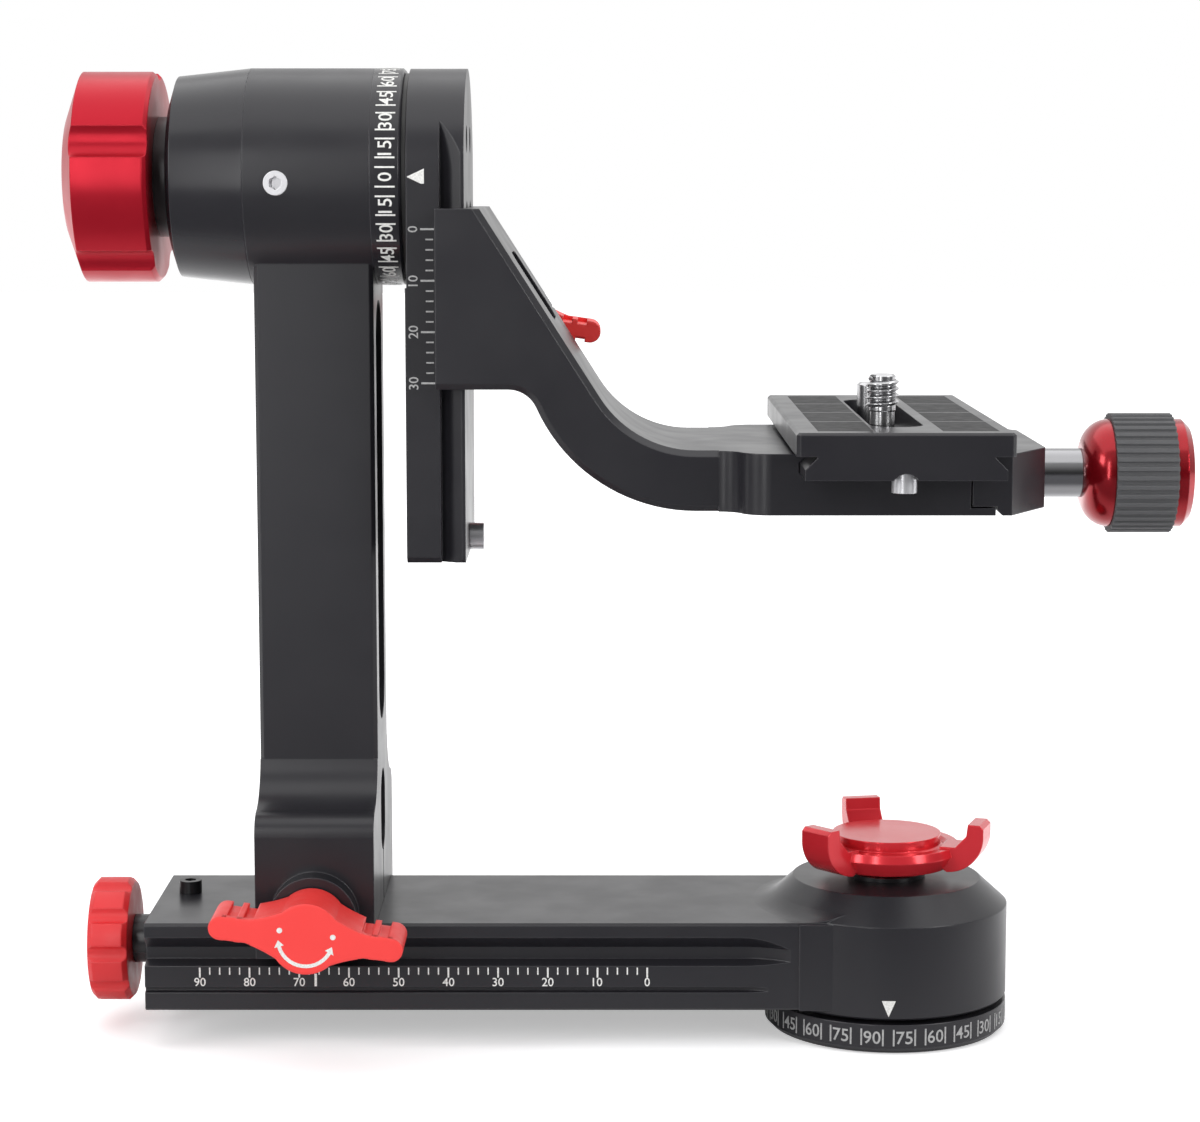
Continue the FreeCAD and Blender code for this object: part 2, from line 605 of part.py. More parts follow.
def pan_spindle():
    groove_r = SPINDLE_R - CIRCLIP_SINK
    spindle = turned_z([(0, BASE_H), (SPINDLE_FLANGE_R, BASE_H), (SPINDLE_FLANGE_R, PAN_FLANGE_TOP_Z),
                        (SPINDLE_R, PAN_FLANGE_TOP_Z), (SPINDLE_R, UPPER_BEARING_TOP_Z),
                        (groove_r, UPPER_BEARING_TOP_Z), (groove_r, CLIP_TOP_Z),
                        (SPINDLE_R, CLIP_TOP_Z), (SPINDLE_R, SPINDLE_TOP_Z), (0, SPINDLE_TOP_Z)])
    spindle = spindle.cut(rod(BUSH_R, BASE_H, TRIPOD_TAP_DEPTH, "XY"))
    for x, y in spindle_screw_places():
        spindle = spindle.cut(spindle_screw(x, y))
    return spindle


def spindle_circlip():
    clip = ring(SPINDLE_R + CIRCLIP_OUT, SPINDLE_R - CIRCLIP_SINK,
                UPPER_BEARING_TOP_Z, CLIP_TOP_Z, "XY")
    mouth = block((0, BASE_R), (-CIRCLIP_MOUTH / 2, CIRCLIP_MOUTH / 2), (UPPER_BEARING_TOP_Z, CLIP_TOP_Z))
    return clip.cut(mouth)


# ---------------------------------------------------------------- bearings
def pan_bearing(start):
    return ring(BEARING_R, SPINDLE_R + BEARING_GAP, start, start + BEARING_W, "XY")


def tilt_bearing(start):
    return ring(BEARING_R, SPINDLE_R + BEARING_GAP, start, start + BEARING_W, "YZ", 0, TILT_Z)


def pan_bearing_spacer():
    sleeve = ring(BEARING_R, BEARING_R - BEARING_SEAT_W, LOWER_BEARING_TOP_Z, UPPER_BEARING_Z, "XY")
    return sleeve.cut(rod(DRAG_BORE_R, -BEARING_R - 1.0, 0, "YZ", 0, DRAG_Z))


def pan_retainer_ring():
    return ring(RETAINER_R, SPINDLE_FLANGE_R + RETAINER_GAP, HOUSING_BOTTOM_Z, PAN_FLANGE_TOP_Z, "XY")


# ---------------------------------------------------------------- rail and housing
def below_rail_top(drop):
    return RAIL_TOP_Z - drop


def side_groove(points):
    """A groove along the rail's front side, with the round run-out of its cutter."""
    end_x = -GROOVE_END
    face = outline_face(points, "YZ", end_x)
    straight = face.extrude(V(RAIL_END_X - 1.0 - end_x, 0, 0))
    pivot = V(end_x, -DOVETAIL_FLOOR_Y - SIDE_CUTTER_R, 0)
    run_out = face.revolve(pivot, V(0, 0, 1), -60)
    return straight.fuse(run_out)


def rail_grooves():
    outside = RAIL_HALF_W + 2.0
    rise = (DOVETAIL_FLOOR_TOP - DOVETAIL_MOUTH_TOP) / DOVETAIL_DEPTH * 2.0
    drop = (DOVETAIL_MOUTH_BOTTOM - DOVETAIL_FLOOR_BOTTOM) / DOVETAIL_DEPTH * 2.0
    dovetail = [(-outside, below_rail_top(DOVETAIL_MOUTH_BOTTOM) - drop),
                (-DOVETAIL_FLOOR_Y, below_rail_top(DOVETAIL_FLOOR_BOTTOM)),
                (-DOVETAIL_FLOOR_Y, below_rail_top(DOVETAIL_FLOOR_TOP)),
                (-outside, below_rail_top(DOVETAIL_MOUTH_TOP) + rise)]
    floor = RAIL_HALF_W - LOWER_GROOVE_DEPTH
    top = below_rail_top(LOWER_GROOVE_TOP)
    bottom = top - LOWER_GROOVE_W
    lower = [(-outside, bottom), (-RAIL_HALF_W, bottom), (-floor, bottom + GROOVE_FLANK),
             (-floor, top - GROOVE_FLANK), (-RAIL_HALF_W, top), (-outside, top)]
    front = [side_groove(dovetail), side_groove(lower)]
    back = [groove.mirror(V(0, 0, 0), V(0, 1, 0)) for groove in front]
    return front + back


def cone_root():
    """The hollow round where the housing's cone runs out on the rail's top."""
    slope = math.atan2(CONE_H, HOUSING_R - HOUSING_TOP_R)
    reach = HOUSING_R + CONE_ROOT_REACH
    radius = CONE_ROOT_REACH / math.tan(slope / 2)
    centre_z = RAIL_TOP_Z + radius
    high = (HOUSING_R - CONE_ROOT_REACH * math.cos(slope), RAIL_TOP_Z + CONE_ROOT_REACH * math.sin(slope))
    root = turned_z([(HOUSING_TOP_R - 2.0, RAIL_TOP_Z), (reach, RAIL_TOP_Z),
                     (reach - radius * math.sin(slope / 2), centre_z - radius * math.cos(slope / 2),
                      high[0], high[1]), (HOUSING_TOP_R - 2.0, high[1])])
    half_w = RAIL_HALF_W - EDGE_CHAMFER
    return root.common(block((-reach - 1.0, 0), (-half_w, half_w), (RAIL_TOP_Z, HOUSING_TOP_Z)))


def rail_body():
    edge = EDGE_CHAMFER
    beam = prism([(-RAIL_HALF_W, RAIL_BOTTOM_Z + edge), (-RAIL_HALF_W + edge, RAIL_BOTTOM_Z),
                  (RAIL_HALF_W - edge, RAIL_BOTTOM_Z), (RAIL_HALF_W, RAIL_BOTTOM_Z + edge),
                  (RAIL_HALF_W, RAIL_TOP_Z - edge), (RAIL_HALF_W - edge, RAIL_TOP_Z),
                  (-RAIL_HALF_W + edge, RAIL_TOP_Z), (-RAIL_HALF_W, RAIL_TOP_Z - edge)],
                 "YZ", RAIL_END_X, 0.0)
    for groove in rail_grooves():
        beam = beam.cut(groove)
    housing = turned_z([(0, HOUSING_BOTTOM_Z), (HOUSING_R - edge, HOUSING_BOTTOM_Z),
                        (HOUSING_R, HOUSING_BOTTOM_Z + edge), (HOUSING_R, RAIL_TOP_Z),
                        (HOUSING_TOP_R, HOUSING_TOP_Z), (0, HOUSING_TOP_Z)])
    cheek_y = RAIL_HALF_W + CHEEK_STEP
    cheeks = block((-CHEEK_REACH, 0), (-cheek_y, cheek_y), (RAIL_BOTTOM_Z, RAIL_TOP_Z - edge / 2))
    body = beam.fuse(cheeks).fuse(housing).fuse(cone_root())
    body = body.cut(rod(RETAINER_R, HOUSING_BOTTOM_Z, PAN_FLANGE_TOP_Z, "XY"))
    body = body.cut(rod(BEARING_R, PAN_FLANGE_TOP_Z, UPPER_BEARING_TOP_Z, "XY"))
    body = body.cut(rod(CAVITY_R, UPPER_BEARING_TOP_Z, ROOF_Z, "XY"))
    body = body.cut(rod(LOCK_STUD_R + RUN_GAP, ROOF_Z, HOUSING_TOP_Z, "XY"))
    body = body.cut(rod(DRAG_BORE_R, RAIL_END_X, 0, "YZ", 0, DRAG_Z))
    body = body.cut(rod(DRAG_BUSH_R, RAIL_END_X, RAIL_END_X + DRAG_BUSH_DEPTH, "YZ", 0, DRAG_Z))
    screw_hole = rod(STOP_SCREW_R, RAIL_TOP_Z - RAIL_SCREW_LENGTH, RAIL_TOP_Z, "XY",
                     RAIL_SCREW_X, RAIL_SCREW_Y)
    return body.cut(screw_hole)


def rail_stop_screw():
    return cap_screw(RAIL_SCREW_HEAD_R, RAIL_SCREW_HEAD_H, STOP_SCREW_R, RAIL_SCREW_LENGTH,
                     RAIL_TOP_Z, 1, "XY", RAIL_SCREW_X, RAIL_SCREW_Y)


def pan_knob_washer():
    return ring(LOCK_WASHER_R, LOCK_STUD_R + RUN_GAP, HOUSING_TOP_Z, LOCK_WASHER_TOP_Z, "XY")


def drag_rod_bush():
    end_x = RAIL_END_X + DRAG_BUSH_DEPTH
    bush = turned_x([(DRAG_BUSH_X, 0), (DRAG_BUSH_X, DRAG_BUSH_FLANGE_R), (RAIL_END_X, DRAG_BUSH_FLANGE_R),
                     (RAIL_END_X, DRAG_BUSH_R), (end_x, DRAG_BUSH_R), (end_x, 0)], 0, DRAG_Z)
    return bush.cut(rod(DRAG_ROD_R + RUN_GAP, DRAG_BUSH_X, end_x, "YZ", 0, DRAG_Z))


def drag_shoe():
    return rod(DRAG_SHOE_R, DRAG_SHOE_X, DRAG_SHOE_INNER_X, "YZ", 0, DRAG_Z)


# ---------------------------------------------------------------- pan lock
def on_bowl(point):
    """A (radius, height) of the knob, its height taken from the bowl's underside."""
    return (point[0], LOCK_BOWL_Z + point[1])


def pan_lock_arm():
    """One arm in the XZ plane, curving up to its tip."""
    top = LOCK_BOWL_Z + LOCK_ARM_TOP
    outer_top = top - LOCK_ARM_CHAMFER
    bend = on_bowl(LOCK_ARM_BEND)
    inner_x = LOCK_ARM_R - LOCK_ARM_T
    seat = on_bowl(LOCK_ARM_SEAT)
    return prism([on_bowl((LOCK_GROOVE[0], LOCK_BELLY[1] + 0.8)), on_bowl(LOCK_ARM_ROOT),
                  (bend[0], bend[1], LOCK_ARM_R, outer_top - LOCK_ARM_HEIGHT),
                  (LOCK_ARM_R, outer_top), (LOCK_ARM_R - LOCK_ARM_CHAMFER, top), (inner_x, top),
                  (inner_x - 0.3, top - LOCK_ARM_HEIGHT), seat,
                  (LOCK_GROOVE[0], seat[1])], "XZ", -LOCK_ARM_W / 2, LOCK_ARM_W / 2)


def pan_lock_knob():
    foot_z = LOCK_WASHER_TOP_Z + SLIDE_GAP
    knob = turned_z([(0, foot_z), (LOCK_FOOT_R, foot_z), (LOCK_FOOT_R, LOCK_BOWL_Z),
                     (LOCK_BOWL_FOOT_R, LOCK_BOWL_Z), on_bowl(LOCK_BELLY), on_bowl(LOCK_BOWL),
                     on_bowl(LOCK_RIM),
                     on_bowl((LOCK_RIM[0] - LOCK_RIM_W, LOCK_RIM[1])), on_bowl(LOCK_GROOVE),
                     on_bowl((LOCK_DISC_R, LOCK_DISC_FOOT)), on_bowl((LOCK_DISC_R, LOCK_DISC_TOP)),
                     on_bowl((0, LOCK_DISC_TOP))])
    for arm in around(pan_lock_arm(), V(0, 0, 0), V(0, 0, 1), LOCK_ARM_COUNT, LOCK_ARM_START_DEG):
        knob = knob.fuse(arm)
    return knob.cut(rod(LOCK_STUD_R, 0, LOCK_STUD_TOP_Z, "XY"))


def pan_lock_stud():
    return rod(LOCK_STUD_R, LOCK_PAD_TOP_Z, LOCK_STUD_TOP_Z, "XY")


def pan_lock_pad():
    return rod(LOCK_PAD_R, LOCK_PAD_Z, LOCK_PAD_TOP_Z, "XY")


# ---------------------------------------------------------------- pan drag
def drag_knob():
    edge = EDGE_CHAMFER * 2
    outer = DRAG_KNOB_OUTER_X
    inner = DRAG_KNOB_INNER_X
    knob = turned_x([(outer, 0), (outer, DRAG_KNOB_R - edge), (outer + edge, DRAG_KNOB_R),
                     (inner - edge, DRAG_KNOB_R), (inner, DRAG_KNOB_R - edge), (inner, 0)], 0, DRAG_Z)
    flute = rod(DRAG_FLUTE_R, outer, inner, "YZ", DRAG_KNOB_R + DRAG_FLUTE_R - DRAG_FLUTE_DEPTH, DRAG_Z)
    for cut in around(flute, V(0, 0, DRAG_Z), V(1, 0, 0), DRAG_FLUTES, DRAG_FLUTE_START_DEG):
        knob = knob.cut(cut)
    return knob.cut(rod(DRAG_ROD_R, (outer + inner) / 2, inner, "YZ", 0, DRAG_Z))


def drag_rod():
    return rod(DRAG_ROD_R, (DRAG_KNOB_OUTER_X + DRAG_KNOB_INNER_X) / 2, DRAG_ROD_TIP_X, "YZ", 0, DRAG_Z)


# ---------------------------------------------------------------- upright
def foot_half(side):
    """Half of the foot's outline, up from the hook; side is -1 in front and +1 behind."""
    tip_y = RAIL_HALF_W - FOOT_HOOK_REACH
    slope = (DOVETAIL_FLOOR_TOP - DOVETAIL_MOUTH_TOP) / DOVETAIL_DEPTH
    bottom = RAIL_TOP_Z - FOOT_JAW_DROP

    def flank(y):
        return RAIL_TOP_Z - DOVETAIL_FLOOR_TOP + (y - DOVETAIL_FLOOR_Y) * slope - FOOT_HOOK_CLEAR

    return [(side * FOOT_INNER_Y, RAIL_TOP_Z + SLIDE_GAP), (side * FOOT_INNER_Y, flank(FOOT_INNER_Y)),
            (side * tip_y, flank(tip_y)), (side * tip_y, bottom), (side * FOOT_HALF_W, bottom),
            (side * FOOT_HALF_W, RAIL_TOP_Z + SHOULDER)]


def flare_points(side):
    """The shoulder's round, its slope's end, the flare's middle and its top on the arm's side."""
    shoulder = (side * (FOOT_HALF_W - SHOULDER_MID[0]), RAIL_TOP_Z + SHOULDER_MID[1])
    end = (side * (ARM_HALF_W + FLARE_END[0]), RAIL_TOP_Z + FLARE_END[1])
    middle = (side * (ARM_HALF_W + FLARE_MID[0]), RAIL_TOP_Z + FLARE_MID[1])
    top = (side * ARM_HALF_W, RAIL_TOP_Z + FLARE_TOP)
    return shoulder, end, middle, top


def foot_solid():
    points = foot_half(-1)
    shoulder, end, middle, top = flare_points(-1)
    points += [shoulder + end, middle + top]
    shoulder, end, middle, top = flare_points(1)
    points += [top, middle + end, shoulder + foot_half(1)[-1]]
    back = foot_half(1)[:-1]
    back.reverse()
    return prism(points + back, "YZ", ARM_LEFT_X, ARM_RIGHT_X)


def obround_pocket(half_w, bottom, top, depth):
    """A round-ended pocket sunk in the upright's inner face."""
    start = ARM_RIGHT_X - depth
    pocket = block((start, ARM_RIGHT_X), (-half_w, half_w), (bottom + half_w, top - half_w))
    for z in (bottom + half_w, top - half_w):
        pocket = pocket.fuse(rod(half_w, start, ARM_RIGHT_X, "YZ", 0, z))
    return pocket


def upright_arm():
    shank = block((ARM_LEFT_X, ARM_RIGHT_X), (-ARM_HALF_W, ARM_HALF_W), (RAIL_TOP_Z + FLARE_TOP, TILT_Z))
    shank = chamfer_edges(shank, ARM_EDGE, lambda e: abs(e.tangentAt(e.FirstParameter).z) > 0.99)
    boss = rod(FOOT_BOSS_R, FOOT_BOSS_Y, -FOOT_INNER_Y, "XZ", RAIL_CLAMP_X, RAIL_CLAMP_Z)
    hub = rod(HUB_R, HUB_LEFT_X, ARM_RIGHT_X, "YZ", 0, TILT_Z)
    arm = foot_solid().fuse(boss).fuse(shank).fuse(hub)
    arm = arm.cut(rod(BEARING_R, HUB_LEFT_X, ARM_RIGHT_X, "YZ", 0, TILT_Z))
    arm = arm.cut(obround_pocket(POCKET_HALF_W, RAIL_TOP_Z + POCKET_BOTTOM, TILT_Z - HUB_R - POCKET_TOP_LAND,
                                 POCKET_DEPTH))
    arm = arm.cut(obround_pocket(FOOT_POCKET_HALF_W, RAIL_TOP_Z + FOOT_POCKET_BOTTOM,
                                 RAIL_TOP_Z + FOOT_POCKET_TOP, FOOT_POCKET_DEPTH))
    slit_top = RAIL_TOP_Z + FOOT_SLIT_TOP
    arm = arm.cut(block((ARM_LEFT_X, ARM_RIGHT_X), (-FOOT_SLIT_W / 2, FOOT_SLIT_W / 2),
                        (RAIL_TOP_Z, slit_top)))
    arm = arm.cut(rod(FOOT_SLIT_EYE_R, ARM_LEFT_X, ARM_RIGHT_X, "YZ", 0, slit_top))
    arm = arm.cut(rod(WING_STUD_R + RUN_GAP, FOOT_BOSS_Y, FOOT_HALF_W, "XZ", RAIL_CLAMP_X, RAIL_CLAMP_Z))
    arm = arm.cut(foot_thread_insert_space())
    return arm.cut(rod(SET_SCREW_R, -HUB_R, -BEARING_R, "XZ", SET_SCREW_X, SET_SCREW_Z))


def foot_thread_insert_space():
    start = FOOT_INNER_Y + INSERT_IN
    body = rod(INSERT_R, start, FOOT_HALF_W, "XZ", RAIL_CLAMP_X, RAIL_CLAMP_Z)
    flange = rod(INSERT_FLANGE_R, FOOT_HALF_W - INSERT_FLANGE_T, FOOT_HALF_W, "XZ",
                 RAIL_CLAMP_X, RAIL_CLAMP_Z)
    return body.fuse(flange)


def foot_thread_insert():
    hole = rod(WING_STUD_R + THREAD_GAP, FOOT_INNER_Y, FOOT_HALF_W, "XZ", RAIL_CLAMP_X, RAIL_CLAMP_Z)
    return foot_thread_insert_space().cut(hole)


def hub_set_screw():
    screw = rod(SET_SCREW_R, -HUB_R, -BEARING_R - SLIDE_GAP, "XZ", SET_SCREW_X, SET_SCREW_Z)
    return screw.cut(hex_socket(SET_SCREW_R, HEX_SINK, -HUB_R, "XZ", SET_SCREW_X, SET_SCREW_Z))


def hub_end_cap():
    wall = BEARING_R - CAP_SPIGOT_WALL
    bore = SPINDLE_R + CAP_BORE_GAP
    return turned_x([(CAP_END_X, bore), (CAP_END_X, CAP_END_R), (CAP_SHOULDER_X, CAP_SHOULDER_R),
                     (HUB_LEFT_X, HUB_R), (HUB_LEFT_X, BEARING_R), (CAP_SPIGOT_END_X, BEARING_R),
                     (CAP_SPIGOT_END_X, wall), (HUB_LEFT_X, wall), (HUB_LEFT_X, bore)], 0, TILT_Z)


def tilt_scale_ring():
    edge = EDGE_CHAMFER
    return turned_x([(ARM_RIGHT_X, SCALE_RING_BORE_R), (ARM_RIGHT_X, HUB_R), (SCALE_RING_END_X - edge, HUB_R),
                     (SCALE_RING_END_X, HUB_R - edge), (SCALE_RING_END_X, SCALE_RING_BORE_R)], 0, TILT_Z)


def tilt_bearing_spacer():
    return ring(BEARING_R, BEARING_R - BEARING_SEAT_W, LEFT_BEARING_END_X, RIGHT_BEARING_X, "YZ", 0, TILT_Z)


def tilt_friction_ring():
    return ring(HUB_R - 2 * EDGE_CHAMFER, SCALE_RING_BORE_R, SCALE_RING_END_X,
                HEAD_LEFT_X - SLIDE_GAP, "YZ", 0, TILT_Z)


# ---------------------------------------------------------------- wing knobs
def wing_outline():
    root = math.radians(WING_ROOT_END_DEG)
    disc_u = WING_DISC_R * math.cos(root)
    disc_v = WING_DISC_R * math.sin(root)
    straight = WING_REACH - WING_HALF_H
    mid_u, mid_v = WING_ROOT_MID
    return [(disc_u, disc_v), (0, WING_DISC_R, -disc_u, disc_v),
            (-mid_u, mid_v, -WING_ROOT_U, WING_HALF_H), (-straight, WING_HALF_H),
            (-WING_REACH, 0, -straight, -WING_HALF_H), (-WING_ROOT_U, -WING_HALF_H),
            (-mid_u, -mid_v, -disc_u, -disc_v), (0, -WING_DISC_R, disc_u, -disc_v),
            (mid_u, -mid_v, WING_ROOT_U, -WING_HALF_H), (straight, -WING_HALF_H),
            (WING_REACH, 0, straight, WING_HALF_H), (WING_ROOT_U, WING_HALF_H),
            (mid_u, mid_v, disc_u, disc_v)]


def wing_grooves(start, end):
    """The grip grooves across the wings, above and below."""
    grooves = []
    for side in (-1, 1):
        for index in range(WING_GROOVES):
            u = side * (WING_ROOT_U + index * WING_GROOVE_PITCH)
            for v in (-WING_HALF_H, WING_HALF_H):
                grooves.append(block((u - WING_GROOVE_W / 2, u + WING_GROOVE_W / 2),
                                     (start, end),
                                     (v - WING_GROOVE_DEPTH, v + WING_GROOVE_DEPTH)))
    return grooves


def wing_knob(x, z, face_y, seat_y, tilt):
    """A winged knob whose wings span face_y to face_y + thickness and whose boss reaches seat_y."""
    side = 1 if face_y > seat_y else -1
    far_y = face_y + side * WING_T
    low, high = min(face_y, far_y), max(face_y, far_y)
    knob = prism(wing_outline(), "XZ", low, high)
    for groove in wing_grooves(low, high):
        knob = knob.cut(groove)
    knob = knob.fuse(rod(WING_BOSS_R, min(seat_y, face_y), max(seat_y, face_y), "XZ"))
    middle = (low + high) / 2
    knob = knob.cut(rod(WING_STUD_R, min(seat_y, middle), max(seat_y, middle), "XZ"))
    knob.rotate(V(0, 0, 0), V(0, 1, 0), -tilt)
    knob.translate(V(x, 0, z))
    return knob


def rail_wing_knob():
    return wing_knob(RAIL_CLAMP_X, RAIL_CLAMP_Z, WING_FRONT_Y - SLIDE_GAP, WING_FRONT_Y, RAIL_WING_TILT_DEG)


def rail_wing_stud():
    start = WING_FRONT_Y - SLIDE_GAP - WING_T / 2
    return rod(WING_STUD_R, start, FOOT_HALF_W - STUD_SHORT, "XZ", RAIL_CLAMP_X, RAIL_CLAMP_Z)


def rail_wing_washer():
    return ring(WING_WASHER_R, WING_STUD_R + RUN_GAP, FOOT_BOSS_Y - WING_WASHER_T, FOOT_BOSS_Y, "XZ",
                RAIL_CLAMP_X, RAIL_CLAMP_Z)


def bracket_wing_knob():
    return wing_knob(BRACKET_CLAMP_X, BRACKET_CLAMP_Z, BRACKET_WING_Y, BRACKET_HALF_W + SLIDE_GAP,
                     BRACKET_WING_TILT_DEG)


def bracket_wing_stud():
    return rod(WING_STUD_R, JAW_Y - BRACKET_STUD_DEPTH, BRACKET_WING_Y + WING_T / 2, "XZ",
               BRACKET_CLAMP_X, BRACKET_CLAMP_Z)


# ---------------------------------------------------------------- tilt spindle and lock
def tilt_spindle():
    stud_x = TILT_KNOB_INNER_X - TILT_STUD_DEPTH
    shoulder_x = ARM_RIGHT_X + SLIDE_GAP
    spigot_x = HEAD_LEFT_X + SWING_SPIGOT_DEPTH
    spindle = turned_x([(stud_x, 0), (stud_x, TILT_STUD_R), (CAP_END_X, TILT_STUD_R), (CAP_END_X, SPINDLE_R),
                        (shoulder_x, SPINDLE_R), (shoulder_x, RACE_SHOULDER_R),
                        (TILT_FLANGE_LEFT_X, RACE_SHOULDER_R),
                        (TILT_FLANGE_LEFT_X, SPINDLE_FLANGE_R), (HEAD_LEFT_X, SPINDLE_FLANGE_R),
                        (HEAD_LEFT_X, SWING_SPIGOT_R), (spigot_x, SWING_SPIGOT_R), (spigot_x, 0)], 0, TILT_Z)
    for y, z in head_screw_places():
        spindle = spindle.cut(rod(SPINDLE_SCREW_R, HEAD_SCREW_TIP_X, HEAD_LEFT_X, "YZ", y, z))
    return spindle


def head_screw_places():
    return [(y, TILT_Z + z) for y, z in spindle_screw_places()]


def swing_head_screws():
    screws = []
    for y, z in head_screw_places():
        screws.append(cap_screw(HEAD_SCREW_HEAD_R, HEAD_SCREW_HEAD_H, SPINDLE_SCREW_R, HEAD_SCREW_LENGTH,
                                HEAD_SCREW_SEAT_X, 1, "YZ", y, z))
    return Part.makeCompound(screws)


def tilt_lock_knob():
    outer = TILT_KNOB_OUTER_X
    inner = TILT_KNOB_INNER_X
    knob = turned_x([(outer, 0), (outer, TILT_KNOB_R - TILT_CHAMFER_R), (outer + TILT_CHAMFER_X, TILT_KNOB_R),
                     (inner - TILT_INNER_CHAMFER, TILT_KNOB_R), (inner, TILT_KNOB_R - TILT_INNER_CHAMFER),
                     (inner, 0)], 0, TILT_Z)
    groove = rod(TILT_GROOVE_R, outer, inner, "YZ",
                 TILT_KNOB_R + TILT_GROOVE_R - TILT_GROOVE_DEPTH, TILT_Z)
    start = 180.0 - TILT_GROOVE_START_DEG
    for cut in around(groove, V(0, 0, TILT_Z), V(1, 0, 0), TILT_LOBES, start):
        knob = knob.cut(cut)
    return knob.cut(rod(TILT_STUD_R + THREAD_GAP, inner - TILT_STUD_DEPTH - SLIDE_GAP, inner, "YZ",
                        0, TILT_Z))


def tilt_knob_collar():
    return ring(TILT_COLLAR_R, TILT_STUD_R + THREAD_GAP, TILT_KNOB_INNER_X, COLLAR_RIGHT_X, "YZ", 0, TILT_Z)


# ---------------------------------------------------------------- swing arm
def edge_dovetail(side, clear):
    """What is milled off one edge of the swing plate, less a clearance, as points from above."""
    run = SWING_FACE_X - SWING_ROOT_X
    rise = SWING_ROOT_IN - SWING_FACE_IN
    shift = clear * math.hypot(run, rise) / run
    outside = SWING_HALF_W + 1.0

    def flank(x):
        return SWING_ROOT_Y + shift + (x - SWING_ROOT_X) * rise / run

    start = SWING_ROOT_X + clear
    return [(start, side * flank(start)), (SWING_FACE_X, side * flank(SWING_FACE_X)),
            (SWING_RIGHT_X + 1.0, side * flank(SWING_FACE_X)), (SWING_RIGHT_X + 1.0, side * outside),
            (start, side * outside)]


def swing_arm():
    head = rod(SWING_HALF_W, HEAD_LEFT_X, SWING_RIGHT_X, "YZ", 0, TILT_Z)
    plate = block((SWING_LEFT_X, SWING_RIGHT_X), (-SWING_HALF_W, SWING_HALF_W),
                  (SWING_BOTTOM_Z, TILT_Z - HUB_R))
    plate = chamfer_edges(plate, SWING_BOTTOM_CHAMFER,
                          lambda e: abs(e.CenterOfMass.z - SWING_BOTTOM_Z) < 1e-6
                          and abs(e.tangentAt(e.FirstParameter).x) > 0.99)
    web = block((HEAD_LEFT_X, SWING_RIGHT_X), (-SWING_HALF_W, SWING_HALF_W), (TILT_Z - HUB_R, TILT_Z))
    arm = plate.fuse(web).fuse(head)
    for side in (-1, 1):
        arm = arm.cut(prism(edge_dovetail(side, 0.0), "XY", SWING_BOTTOM_Z, TILT_Z + SWING_HALF_W))
    arm = arm.cut(rod(SWING_SPIGOT_R, HEAD_LEFT_X, HEAD_LEFT_X + SWING_SPIGOT_DEPTH, "YZ", 0, TILT_Z))
    for y, z in head_screw_places():
        arm = arm.cut(rod(HEAD_SCREW_HEAD_R, HEAD_SCREW_SEAT_X, SWING_RIGHT_X, "YZ", y, z))
        arm = arm.cut(rod(SPINDLE_SCREW_R, HEAD_LEFT_X, HEAD_SCREW_SEAT_X, "YZ", y, z))
    return arm.cut(rod(STOP_SCREW_R, SWING_RIGHT_X - SWING_SCREW_LENGTH, SWING_RIGHT_X, "YZ",
                       0, SWING_SCREW_Z))


def swing_stop_screw():
    return cap_screw(SWING_SCREW_HEAD_R, SWING_SCREW_HEAD_H, STOP_SCREW_R, SWING_SCREW_LENGTH,
                     SWING_RIGHT_X, 1, "YZ", 0, SWING_SCREW_Z)


# ---------------------------------------------------------------- lens bracket
def slope_point(distance):
    """A point on the sloped face, at a distance down from its top edge."""
    angle = math.radians(BRACKET_SLOPE_DEG)
    return (BRACKET_TOP_X + distance * math.cos(angle), BRACKET_TOP_Z - distance * math.sin(angle))


def bend_end_x():
    """Where the bend runs into the deck."""
    angle = math.radians(BRACKET_SLOPE_DEG)
    corner = BRACKET_TOP_X + BRACKET_DECK_DROP / math.tan(angle)
    return corner + BEND_IN_R * math.tan(angle / 2)


def bracket_outline(right_x):
    """The bracket seen along the lens's line, from the channel to right_x."""
    angle = math.radians(BRACKET_SLOPE_DEG)
    bend_x = bend_end_x()

    def on_bend(radius, turn):
        return (bend_x - radius * math.sin(turn), BEND_Z - radius * math.cos(turn))

    heel_angle = math.acos((BEND_Z - BRACKET_CHANNEL_BOTTOM_Z) / BEND_OUT_R)
    return [(BRACKET_LEFT_X, BRACKET_CHANNEL_BOTTOM_Z), (BRACKET_LEFT_X, BRACKET_TOP_Z),
            (BRACKET_TOP_X, BRACKET_TOP_Z), on_bend(BEND_IN_R, angle),
            on_bend(BEND_IN_R, angle / 2) + (bend_x, BRACKET_DECK_Z), (right_x, BRACKET_DECK_Z),
            (right_x, BRACKET_BOTTOM_Z), (bend_x, BRACKET_BOTTOM_Z),
            on_bend(BEND_OUT_R, heel_angle / 2) + on_bend(BEND_OUT_R, heel_angle)]


